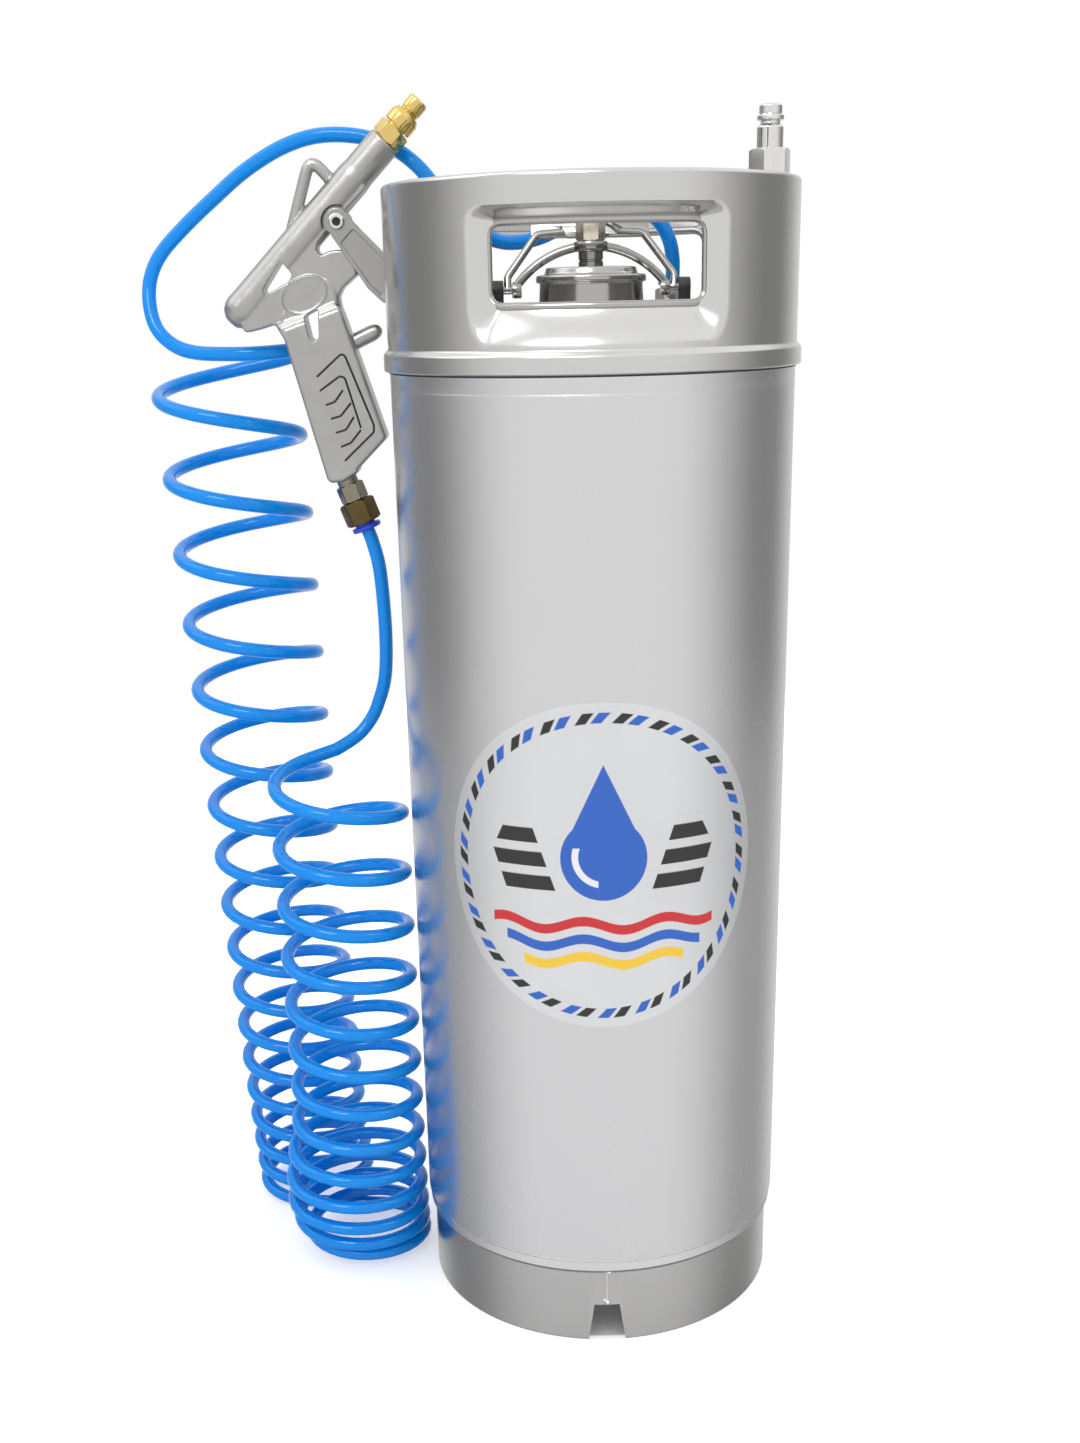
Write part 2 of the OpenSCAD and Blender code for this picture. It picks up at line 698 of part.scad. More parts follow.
module dip_tube() {
    low = barrel_low_z + 4;
    high = outlet_z - 5 - eps;
    color("lightgray") translate([outlet_x, outlet_y, low]) tube(dip_d, dip_d - 2.5, high - low);
}

// ---------- hose ----------

// Blend from the foot of the front column to its regular part
function foot_blend(k) = max(0, 1 - k / 6);
function front_radius(k) = front_r
    + front_bulge * sin(180 * min(1, k / 6)) - (front_r - front_foot_r) * max(0, 1 - k / 2);
function front_mid(k) = [front_x - front_radius(k),
    front_top_y + (front_foot_y - front_top_y) * foot_blend(k) * foot_blend(k)];
// The rear column ends, and the front one starts, where a straight on the floor touches both
gap_line = front_mid(0) - rear_foot;
gap_turn = atan2(gap_line[1], gap_line[0]) - acos((rear_foot_r + front_foot_r) / norm(gap_line));
rear_count = rear_turns + (gap_turn + 270) / 360;
rear_foot_pitch = 2 * (rear_top_z - floor_z) / rear_count - rear_top_pitch;
front_count = front_turns + (gap_turn + 90 - front_end) / 360;
function rear_point(k) =
    let (u = k / rear_count, a = 90 + 360 * k,
        r = rear_foot_r + (rear_top_r - rear_foot_r) * pow(1 - u, 3),
        mid = rear_top + (rear_foot - rear_top) * u,
        z = rear_top_z - rear_top_pitch * k + (rear_top_pitch - rear_foot_pitch) * k * u / 2)
    [mid[0] + r * cos(a), mid[1] + r * sin(a), z];
function front_point(k) =
    let (a = gap_turn + 180 - 360 * k, r = front_radius(k), mid = front_mid(k), u = k / front_count,
        z = floor_z + front_foot_pitch * k + (front_top_z - floor_z - front_foot_pitch * front_count) * u * u)
    [mid[0] + r * cos(a), mid[1] + r * sin(a), z];
rear_steps = round(rear_count * curl_rings);
front_steps = round(front_count * curl_rings);
coil_curls = concat(
    [for (i = [0 : rear_steps]) rear_point(rear_count * i / rear_steps)],
    [for (i = [0 : front_steps]) front_point(front_count * i / front_steps)]);
coil_start = coil_curls[0];
coil_end = coil_curls[len(coil_curls) - 1];
start_way = unit([1, 0, rear_top_pitch / (2 * PI * rear_top_r)]);
end_way = unit([cos(front_end), sin(front_end), 0.17]);
coil_path = concat([coil_start + 12 * start_way], coil_curls, [coil_end + 12 * end_way]);

// Least distance between points of the path that are more than half a curl apart
function tube_gap(p, d, apart) = min([for (i = [0 : len(p) - 1 - apart])
    min([for (j = [i + apart : len(p) - 1]) norm(p[i] - p[j])])]) - d;
echo(coil_gap = tube_gap(smooth(coil_path, 3), hose_d, 12));
echo(curls = rear_count + front_count);

module hose_coil() {
    color("dodgerblue") sweep(coil_path, hose_r, 6);
}

// The lead leaves the outlet fitting straight and meets the coil straight
module hose_lead() {
    tip = coil_path[0];
    path = concat([[outlet_x, outlet_y, outlet_z + 3 + eps], [outlet_x, outlet_y, outlet_face_z]],
        lead_route, [tip + 12 * start_way, tip]);
    color("dodgerblue") sweep(path, hose_r, 8, [1, 0, 0]);
}

fit_way = [sin(gun_slope - inlet_turn), 0, -cos(gun_slope - inlet_turn)];
gun_turned = [inlet_s * cos(gun_slope) - inlet_w * sin(gun_slope), 0,
    inlet_s * sin(gun_slope) + inlet_w * cos(gun_slope)];
fit_base = [pivot_x, gun_y, pivot_z] + gun_turned;

module hose_rise() {
    tip = coil_path[len(coil_path) - 1];
    path = concat([tip, tip + 4 * end_way], rise_route,
        [fit_base + (collet_face + 4) * fit_way, fit_base + (adaptor_len + 2 + 2 * eps) * fit_way]);
    color("dodgerblue") sweep(path, hose_r, 8, [0, 1, 0]);
}

// ---------- gun ----------

// Outline of the cast body between the barrel tube and the throat
body_line = [[24, -0.3], [24, 12], [-62, 12], [-76, 4], [-78, -1], [-70.5, -5.9], [-64, -9.4],
    [-62.5, -14.3], [-75, -35], [-40, -45], [-31, -30], [-28, -26], [-23, -24.5], [-12.5, -25.6],
    [-7.6, -21], [-7.6, -12.5], [-10.5, -9.3], [-14, -6.5], [-18.8, -4.6], [-18.2, -1.3],
    [-14.7, 0.4], [-7.5, 1]];
grip_line = [[-62.5, -14.3], [-31, -30], [-64.8, -95.1], [-88, -94.8], [-90.5, -96], [-100, -93.4],
    [-105.2, -89], [-105.4, -86]];
// The same outline drawn in by the grip's rounded edge
grip_core = [[-60.5, -19], [-36, -32.5], [-66.5, -92], [-87.5, -91.8], [-98.5, -90.5], [-102, -86]];
tri_slot = [[-53.6, 6.4], [-55.4, 4], [-41.4, -1.1], [-37, 0], [-35.9, 9.2]];
drop_slot = [[-48.6, -19], [-40.1, -21.8], [-51.1, -32.2], [-55, -31.9], [-55, -28.2]];

module gun_body() {
    tail_s = -71;
    color("#b9b7b2") in_gun() difference() {
        union() {
            along(tail_s, bore_w, gun_barrel_d + 1, nose_s - 23 - tail_s);
            along(20, bore_w, gun_barrel_d, nose_s - 20);
            translate([tail_s, 0, bore_w]) sphere(d = gun_barrel_d + 1.4, $fn = 32);
            gun_plate(body_line, gun_web_t);
            gun_plate(grip_line, grip_t - 6);
            gun_plate(grip_core, grip_t);
            rotate([90, 0, 0]) cylinder(h = gun_web_t, r = 6.6, center = true);
            along(-32, valve_w, 13, 13);
            // hanging loop
            rod([12.7, 0, 16], [13.6, 0, 32.5], loop_d);
            rod([13.6, 0, 32.5], [-21.8, 0, 15], loop_d);
            translate([13.6, 0, 32.5]) sphere(d = loop_d + 0.4, $fn = 32);
            // rest peg on the front of the grip
            rod([-42, 0, -46.6], [-28, 0, -52], 8.7);
            translate([-28, 0, -52]) sphere(d = 9, $fn = 32);
            // raised oval field on the cheek
            translate([-40, -web_half + 1, -10.4]) rotate([90, 15, 0]) linear_extrude(1.6) oval(6.5, 7.5);
        }
        gun_plate(tri_slot, 40);
        gun_plate(drop_slot, 40);
        // room for the cheeks of the trigger round the pivot
        for (side = [-1, 1]) translate([0, side * (web_half + 9.7), 0]) rotate([90, 0, 0])
            cylinder(h = 20, r = 8.4, center = true);
        rotate([90, 0, 0]) cylinder(h = 60, d = pivot_d + 2 * run, center = true);
        // barrel bore, nozzle thread and valve bores
        along(-30, bore_w, 8, 100);
        along(nose_s - 12, bore_w, 13 + 2 * run, 20);
        along(valve_s - poppet_t - spring_len, valve_w, valve_bore_d, 60);
        along(valve_s + 5, valve_w, valve_thread_d + 2 * run, 40);
        translate([valve_s + 4, 0, valve_w]) cylinder(h = 25, d = 3);
        // hose thread and the way up to the valve
        translate([inlet_s, 0, inlet_w]) rotate([0, inlet_turn, 0])
            cylinder(h = 26, d = 12 + 2 * run, center = true);
        rod([-94, 0, -82], [-30.5, 0, -19.5], 3.5);
    }
}

blade_s = 3.2;      // inner face of the trigger's web
cheek_line = [[5.6, 0], [5.6, -28.3], [4, -39], [0, -46], [-5, -50], [-10, -50.5], [-13.2, -45.5],
    [-13.6, -35], [-11.4, -24], [-7, -1]];

// Channel shaped trigger: two cheeks and the web between them
module trigger() {
    color("#8d8c88") in_gun() difference() {
        union() {
            for (side = [-1, 1]) translate([0, side * (cheek_in + cheek_t / 2), 0]) {
                gun_plate(cheek_line, cheek_t);
                rotate([90, 0, 0]) cylinder(h = cheek_t, r = 7, center = true);
            }
            gun_plate([[5.6, -10], [5.6, -28.3], [4, -39], [0, -46], [-5, -50], [-6, -48], [-1.6, -44.6],
                [1.8, -38.2], [blade_s, -28], [blade_s, -10]], 2 * cheek_in + 0.5);
        }
        rotate([90, 0, 0]) cylinder(h = 60, d = pivot_d + 2 * run, center = true);
    }
}

module pivot_screw() {
    half = cheek_in + cheek_t;
    color("#55534f") in_gun() rotate([90, 0, 0]) difference() {
        union() {
            translate([0, 0, -half - 0.8]) cylinder(h = 2 * half + 1, d = pivot_d);
            translate([0, 0, half + 0.2]) cylinder(h = 2.2, d = 8.5);
            translate([0, 0, -half - 2.4]) cylinder(h = 2.2, d = 8.5);
        }
        translate([0, 0, half + 0.9]) cylinder(h = 3, d = 4.6, $fn = 6);
    }
}

module valve_cap() {
    color("#c9b26a") in_gun() difference() {
        union() {
            along(valve_s + 6, valve_w, valve_thread_d, cap_s + 1 - valve_s - 6);
            along(cap_s + 0.7, valve_w, 11, 2.3);
        }
        along(valve_s, valve_w, stem_d + 2 * run, 50);
    }
}

// Stem with its poppet head inside the body; its end waits just behind the trigger
module valve_stem() {
    color("#a98f45") in_gun() {
        along(valve_s - poppet_t, valve_w, stem_d, blade_s - 0.4 + poppet_t - valve_s);
        along(valve_s - poppet_t, valve_w, valve_bore_d - 1, poppet_t);
    }
}

module valve_seal() {
    color("#222222") in_gun() translate([valve_s + eps, 0, valve_w]) rotate([0, 90, 0])
        tube(valve_bore_d - 0.1, stem_d + 0.4, 2);
}

module valve_spring() {
    color("lightgray") in_gun() translate([valve_s - poppet_t - spring_len, 0, valve_w]) rotate([0, 90, 0])
        coil_spring(2.5, 0.7, spring_len, 4);
}

// ---------- nozzle ----------

module nozzle_nut() {
    color("#d9b648") in_gun() difference() {
        union() {
            along(nose_s - 11, bore_w, 13, 12.5);
            translate([nose_s + 0.1, 0, bore_w]) rotate([0, 90, 0]) hex(15.4, 8.6);
            along(nose_s + 8, bore_w, 10, 8);
        }
        along(nose_s - 12, bore_w, 6, 40);
    }
}

module nozzle_ring() {
    s = nose_s + 9.3;
    color("#dcbb50") in_gun() difference() {
        union() {
            along(s, bore_w, 16, 7.6);
            translate([s + 7.6, 0, bore_w]) rotate([0, 90, 0]) cylinder(h = 1.6, d1 = 16, d2 = 13);
        }
        along(s - 1, bore_w, 10 + 2 * run, 7.9);
        along(s, bore_w, 7 + 2 * run, 20);
    }
}

module nozzle_seal() {
    color("#222222") in_gun() translate([nose_s - 12 + eps, 0, bore_w]) rotate([0, 90, 0])
        tube(12.8, 8, 1 - 2 * eps);
}

module nozzle_tip() {
    s = nose_s + 18.6;
    color("#dcbb50") in_gun() difference() {
        union() {
            along(s, bore_w, tip_d, 8);
            translate([s + 8, 0, bore_w]) rotate([0, 90, 0]) cylinder(h = 1, d1 = tip_d, d2 = tip_d - 2);
            along(s - 2.4, bore_w, 7, 3);
        }
        along(s - 5, bore_w, 3, 20);
    }
}

// ---------- hose fittings of the gun ----------

module gun_adaptor() {
    color("#a8905a") in_fittings() difference() {
        union() {
            translate([0, 0, -11]) cylinder(h = 12, d = 12);
            translate([0, 0, 3]) hex(14, adaptor_len - 3);
            cylinder(h = 4, d = 12);
        }
        translate([0, 0, -20]) cylinder(h = 60, d = 5);
        translate([0, 0, adaptor_len - 4]) cylinder(h = 10, d = 9 + 2 * run);
    }
}

module gun_nut() {
    color("#57492a") in_fittings() translate([0, 0, adaptor_len + eps]) difference() {
        union() {
            hex(18, nut_len - 3);
            translate([0, 0, nut_len - 3]) cylinder(h = 3, d1 = 20, d2 = 17);
            translate([0, 0, -3.8]) cylinder(h = 5, d = 9);
        }
        translate([0, 0, 2]) cylinder(h = 20, d = 12 + 2 * run);
        translate([0, 0, -5]) cylinder(h = 20, d = 5);
    }
}

module gun_hose_seal() {
    color("#222222") in_fittings() translate([0, 0, adaptor_len + 2 + 2 * eps])
        tube(11.8, hose_d + 2 * hose_grip_gap, 3);
}

module gun_collet() {
    color("royalblue") in_fittings() translate([0, 0, adaptor_len + nut_len + eps]) release_ring(17);
}

// ---------- assembly ----------

barrel_shell();
top_head();
bottom_head();
collar();
foot_ring();
label_film();
lid_plate();
lid_seal();
spring_bow();
lid_lever();
lid_feet();
relief_body();
relief_cap();
relief_stem();
relief_spring();
pull_ring();
inlet_riser();
inlet_seal();
inlet_plug();
outlet_body();
outlet_seal();
outlet_collet();
dip_tube();
hose_lead();
hose_coil();
hose_rise();
gun_body();
trigger();
pivot_screw();
valve_cap();
valve_stem();
valve_seal();
valve_spring();
nozzle_nut();
nozzle_ring();
nozzle_tip();
nozzle_seal();
gun_adaptor();
gun_nut();
gun_collet();
gun_hose_seal();
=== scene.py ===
"""Looks of a stainless pressure tank with a curly air hose and a cast blow gun."""

from __future__ import annotations

import logging
import math
from dataclasses import dataclass
from enum import Enum
from typing import ClassVar, Dict, Iterable, List, Optional, Sequence, Tuple, Union

import bpy
from mathutils import Matrix, Vector


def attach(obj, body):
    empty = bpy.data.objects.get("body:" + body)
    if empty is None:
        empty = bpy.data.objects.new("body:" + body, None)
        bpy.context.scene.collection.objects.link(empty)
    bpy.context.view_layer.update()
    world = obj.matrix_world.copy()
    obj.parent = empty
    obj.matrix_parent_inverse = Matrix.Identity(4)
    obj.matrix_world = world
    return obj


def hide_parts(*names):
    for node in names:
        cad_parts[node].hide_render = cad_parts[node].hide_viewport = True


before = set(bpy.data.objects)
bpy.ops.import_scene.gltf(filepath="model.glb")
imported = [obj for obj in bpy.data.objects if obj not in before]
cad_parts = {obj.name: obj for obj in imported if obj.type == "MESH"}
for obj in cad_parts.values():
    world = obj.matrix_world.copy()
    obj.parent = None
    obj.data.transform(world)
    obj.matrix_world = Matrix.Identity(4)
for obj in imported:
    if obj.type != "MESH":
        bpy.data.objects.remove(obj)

LOG = logging.getLogger("tank")
MM = 0.001

Pair = Tuple[float, float]
Triple = Tuple[float, float, float]
Colour = Tuple[float, float, float]

# in millimetres, as all sizes of the object: the gap between neighbours, and two places on the head
GAP = 0.05
INLET_X = 92.3
OUTLET_AT: Pair = (48.0, 62.0)


# ---------- places ----------

def about(axis: str, degrees: float) -> Matrix:
    """Turn about an axis by the right-hand rule."""
    return Matrix.Rotation(math.radians(degrees), 4, axis)


def shift(x: float, y: float, z: float) -> Matrix:
    """Move by millimetres."""
    return Matrix.Translation(Vector((x, y, z)) * MM)


class Gun:
    """The gun's own frame: X along the barrel to the tip, Z square to it, origin on the trigger pivot."""

    SLOPE: ClassVar[float] = 45.0
    PIVOT: ClassVar[Triple] = (-135.5, 45.0, 616.0)
    GRIP_END: ClassVar[Pair] = (-98.7, -93.5)
    INLET_TURN: ClassVar[float] = 25.0
    BORE_W: ClassVar[float] = 8.7
    VALVE_W: ClassVar[float] = -17.0
    NOSE_S: ClassVar[float] = 47.5

    @classmethod
    def frame(cls) -> Matrix:
        """Returns the gun frame in the shared frame."""
        return shift(*cls.PIVOT) @ about("Y", -cls.SLOPE)

    @classmethod
    def along(cls, s: float, w: float) -> Matrix:
        """Returns the frame at (s, w) whose Z runs along the barrel."""
        return cls.frame() @ shift(s, 0, w) @ about("Y", 90)

    @classmethod
    def grip_end(cls) -> Matrix:
        """Returns the place of the hose fittings in the gun frame; its Z runs down from the grip's end."""
        return shift(cls.GRIP_END[0], 0, cls.GRIP_END[1]) @ about("Y", 180 + cls.INLET_TURN)

    @classmethod
    def fittings(cls) -> Matrix:
        """Returns the place of the hose fittings in the shared frame."""
        return cls.frame() @ cls.grip_end()


# ---------- shader maths ----------

class Signal:
    """A number socket of a material, on which Python's operators add Math nodes."""

    def __init__(self, graph: "Graph", socket: bpy.types.NodeSocket) -> None:
        """Wraps a socket.

        Args:
            graph: The graph that the socket belongs to.
            socket: The output socket.
        """
        self.graph = graph
        self.socket = socket

    def math(self, operation: str, *others: "Number") -> "Signal":
        """Adds a Math node whose first operand is this signal.

        Args:
            operation: Blender's name of the operation.
            others: The further operands.

        Returns:
            The node's result.
        """
        operands = dict(enumerate((self,) + others))
        return self.graph.number("ShaderNodeMath", {"operation": operation}, operands)

    def __add__(self, other: "Number") -> "Signal":
        """self + other."""
        return self.math("ADD", other)

    __radd__ = __add__

    def __mul__(self, other: "Number") -> "Signal":
        """self * other."""
        return self.math("MULTIPLY", other)

    __rmul__ = __mul__

    def __sub__(self, other: "Number") -> "Signal":
        """self - other."""
        return self.math("SUBTRACT", other)

    def __rsub__(self, other: "Number") -> "Signal":
        """other - self."""
        return self.math("MULTIPLY_ADD", -1.0, other)

    def __truediv__(self, other: "Number") -> "Signal":
        """self / other."""
        return self.math("DIVIDE", other)

    def ramp(self, start: float, end: float) -> "Signal":
        """Smooth step from 0 at start to 1 at end; start may be above end.

        Args:
            start: Value at which the step is 0.
            end: Value at which the step is 1.

        Returns:
            The step.
        """
        return self.graph.number(
            "ShaderNodeMapRange", {"interpolation_type": "SMOOTHSTEP"},
            {"Value": self, "From Min": start, "From Max": end})

    def below(self, edge: float, soft: float = 0.25) -> "Signal":
        """1 where the signal is under the edge, with a soft border."""
        return self.ramp(edge + soft, edge - soft)


Number = Union[Signal, float]


class Graph:
    """The nodes of one material or of the world."""

    def __init__(self, tree: bpy.types.NodeTree) -> None:
        """Empties the tree.

        Args:
            tree: The tree to fill.
        """
        self.tree = tree
        tree.nodes.clear()

    def add(self, kind: str, settings: Dict[str, object], inputs: Dict[object, object]) -> bpy.types.Node:
        """Adds a node, sets it up and feeds its sockets.

        Args:
            kind: The node's type.
            settings: Attributes set first; "stops" are a colour ramp's (place, colour) pairs.
            inputs: Values, signals or sockets by socket name or number.

        Returns:
            The node.
        """
        node = self.tree.nodes.new(kind)
        for name, value in settings.items():
            if name == "stops":
                elements = node.color_ramp.elements
                while len(elements) < len(value):
                    elements.new(0.5)
                for element, (place, colour) in zip(elements, value):
                    element.position = place
                    element.color = (*colour, 1.0)
            else:
                setattr(node, name, value)
        self.feed(node, inputs)
        return node

    def feed(self, node: bpy.types.Node, inputs: Dict[object, object]) -> None:
        """Feeds a node's sockets.

        Args:
            node: The node.
            inputs: Values, signals or sockets by socket name or number.
        """
        for name, value in inputs.items():
            if isinstance(value, Signal):
                value = value.socket
            if isinstance(value, bpy.types.NodeSocket):
                self.tree.links.new(value, node.inputs[name])
            elif isinstance(value, tuple) and node.inputs[name].type == "RGBA":
                node.inputs[name].default_value = (*value, 1.0)
            else:
                node.inputs[name].default_value = value

    def number(self, kind: str, settings: Dict[str, object], inputs: Dict[object, object]) -> Signal:
        """Adds a node and returns its first output as a signal."""
        return Signal(self, self.add(kind, settings, inputs).outputs[0])

    def millimetres(self) -> bpy.types.NodeSocket:
        """Adds the object coordinates in millimetres.

        Returns:
            Their socket.
        """
        place = self.add("ShaderNodeTexCoord", {}, {}).outputs["Object"]
        scaled = self.add("ShaderNodeVectorMath", {"operation": "SCALE"}, {0: place, "Scale": 1 / MM})
        return scaled.outputs[0]

    def axes(self) -> Tuple[Signal, Signal, Signal]:
        """The three object coordinates in millimetres."""
        split = self.add("ShaderNodeSeparateXYZ", {}, {0: self.millimetres()})
        return tuple(Signal(self, output) for output in split.outputs)

    def noise(self, size: Triple, detail: float = 3.0, rough: float = 0.55, swirl: float = 0.0) -> Signal:
        """Noise from 0 to 1.

        Args:
            size: Size of a feature along X, Y and Z in millimetres.
            detail: Number of finer layers.
            rough: Weight of the finer layers.
            swirl: Distortion.

        Returns:
            The noise.
        """
        per_mm = tuple(1 / value for value in size)
        place = self.add("ShaderNodeVectorMath", {"operation": "MULTIPLY"}, {
            0: self.millimetres(), 1: per_mm})
        return self.number("ShaderNodeTexNoise", {}, {
            "Vector": place.outputs[0], "Scale": 1.0, "Detail": detail, "Roughness": rough,
            "Distortion": swirl})

    def blend(self, factor: Number, low: object, high: object) -> bpy.types.NodeSocket:
        """Mixes two colours.

        Args:
            factor: 0 gives low and 1 gives high.
            low: Colour or socket.
            high: Colour or socket.

        Returns:
            The mixed colour.
        """
        node = self.add("ShaderNodeMix", {"data_type": "RGBA"}, {0: factor, 6: low, 7: high})
        return node.outputs[2]

    def bump(self, height: Signal, distance: float = 1.0) -> bpy.types.NodeSocket:
        """Bump from a height, counted in steps of a distance in millimetres."""
        node = self.add("ShaderNodeBump", {}, {"Strength": 1.0, "Distance": distance * MM, "Height": height})
        return node.outputs[0]


# ---------- finishes ----------

@dataclass(frozen=True)
class Finish:
    """What every finish shares: its name, its slot, its colour and its roughness."""

    name: str
    slot: str
    colour: Colour
    roughness: float

    def material(self) -> bpy.types.Material:
        """Makes the material, once.

        Returns:
            The material.
        """
        made = bpy.data.materials.get(self.name)
        if made is None:
            made = bpy.data.materials.new(self.name)
            made.use_nodes = True
            graph = Graph(made.node_tree)
            shader = graph.add("ShaderNodeBsdfPrincipled", {}, {
                "Base Color": self.colour, "Roughness": self.roughness})
            graph.add("ShaderNodeOutputMaterial", {}, {"Surface": shader.outputs[0]})
            self.paint(graph, shader)
        return made

    def paint(self, graph: Graph, shader: bpy.types.Node) -> None:
        """Adds what varies over the surface.

        Args:
            graph: The material's graph.
            shader: The principled shader.
        """
        raise NotImplementedError


@dataclass(frozen=True)
class RolledSteel(Finish):
    """Stainless sheet with fine lines round the tank, wipe marks and a slight wave."""

    line: float = 0.0012
    wave: float = 0.08
    mark: float = 0.03
    worn: float = 0.92

    def paint(self, graph: Graph, shader: bpy.types.Node) -> None:
        """Paints lines round the tank, vertical wipe marks and the sheet's wave.

        Args:
            graph: The material's graph.
            shader: The principled shader.
        """
        lines = graph.noise((60.0, 60.0, 0.35), 4.0, 0.7)
        wipes = graph.noise((14.0, 14.0, 220.0), 2.0, 0.5, 0.1)
        cloud = graph.noise((55.0, 55.0, 80.0), 3.0)
        dark = tuple(self.worn * part for part in self.colour)
        graph.feed(shader, {
            "Metallic": 1.0,
            "Base Color": graph.blend(cloud * 0.6 + wipes * 0.4, dark, self.colour),
            "Roughness": self.roughness + (wipes - 0.5) * self.mark + (cloud - 0.5) * self.mark,
            "Normal": graph.bump(lines * self.line + cloud * self.wave)})


@dataclass(frozen=True)
class CastMetal(Finish):
    """Die cast metal: a fine skin and soft flow marks, darker in places."""

    grain: float = 0.05
    hollow: float = 0.82

    def paint(self, graph: Graph, shader: bpy.types.Node) -> None:
        """Paints the cast skin and its flow marks.

        Args:
            graph: The material's graph.
            shader: The principled shader.
        """
        skin = graph.noise((0.5, 0.5, 0.5), 3.0, 0.6)
        flow = graph.noise((14.0, 14.0, 14.0), 4.0, 0.6, 0.6)
        dark = tuple(self.hollow * part for part in self.colour)
        graph.feed(shader, {
            "Metallic": 0.85,
            "Base Color": graph.blend(flow, dark, self.colour),
            "Roughness": self.roughness + (flow - 0.5) * 0.12 + (skin - 0.5) * 0.06,
            "Normal": graph.bump(skin * self.grain + flow * 0.2)})


@dataclass(frozen=True)
class TurnedMetal(Finish):
    """Turned and plated metal with fine tool marks and a little tarnish."""

    tarnish: Colour = (0.30, 0.24, 0.12)
    tarnished: float = 0.25

    def paint(self, graph: Graph, shader: bpy.types.Node) -> None:
        """Paints tool marks and tarnish.

        Args:
            graph: The material's graph.
            shader: The principled shader.
        """
        spots = graph.noise((2.6, 2.6, 2.6), 4.0, 0.65, 0.5)
        fine = graph.noise((0.9, 0.9, 0.9), 2.0)
        stain = spots.ramp(0.42, 0.85) * self.tarnished
        graph.feed(shader, {
            "Metallic": 1.0,
            "Base Color": graph.blend(stain, self.colour, self.tarnish),
            "Roughness": self.roughness + stain * 0.4 + (fine - 0.5) * 0.06,
            "Normal": graph.bump(fine * 0.001 + spots * 0.004)})


@dataclass(frozen=True)
class GlossHose(Finish):
    """Glossy extruded tube, a little cloudy under its skin."""

    deep: Colour = (0.0, 0.19, 0.62)

    def paint(self, graph: Graph, shader: bpy.types.Node) -> None:
        """Paints a cloudy colour and a slightly uneven skin.

        Args:
            graph: The material's graph.
            shader: The principled shader.
        """
        cloud = graph.noise((30.0, 30.0, 30.0), 3.0)
        skin = graph.noise((1.6, 1.6, 1.6), 2.0)
        graph.feed(shader, {
            "Base Color": graph.blend(cloud * 0.35, self.colour, self.deep),
            "Roughness": self.roughness + (cloud - 0.5) * 0.08,
            "Specular IOR Level": 0.05,
            "Coat Weight": 0.55,
            "Coat Roughness": 0.05,
            "Normal": graph.bump(skin * 0.03)})


@dataclass(frozen=True)
class Moulded(Finish):
    """Rubber or plastic: a fine skin with dust in it."""

    dust: Colour = (0.10, 0.10, 0.10)
    dusty: float = 0.35

    def paint(self, graph: Graph, shader: bpy.types.Node) -> None:
        """Paints dust and a fine skin.

        Args:
            graph: The material's graph.
            shader: The principled shader.
        """
        spots = graph.noise((3.5, 3.5, 3.5), 5.0, 0.7)
        skin = graph.noise((0.35, 0.35, 0.35), 2.0)
        haze = spots.ramp(0.45, 0.9) * self.dusty
        graph.feed(shader, {
            "Base Color": graph.blend(haze, self.colour, self.dust),
            "Roughness": self.roughness + haze * 0.25 + (skin - 0.5) * 0.08,
            "Normal": graph.bump(skin * 0.03)})


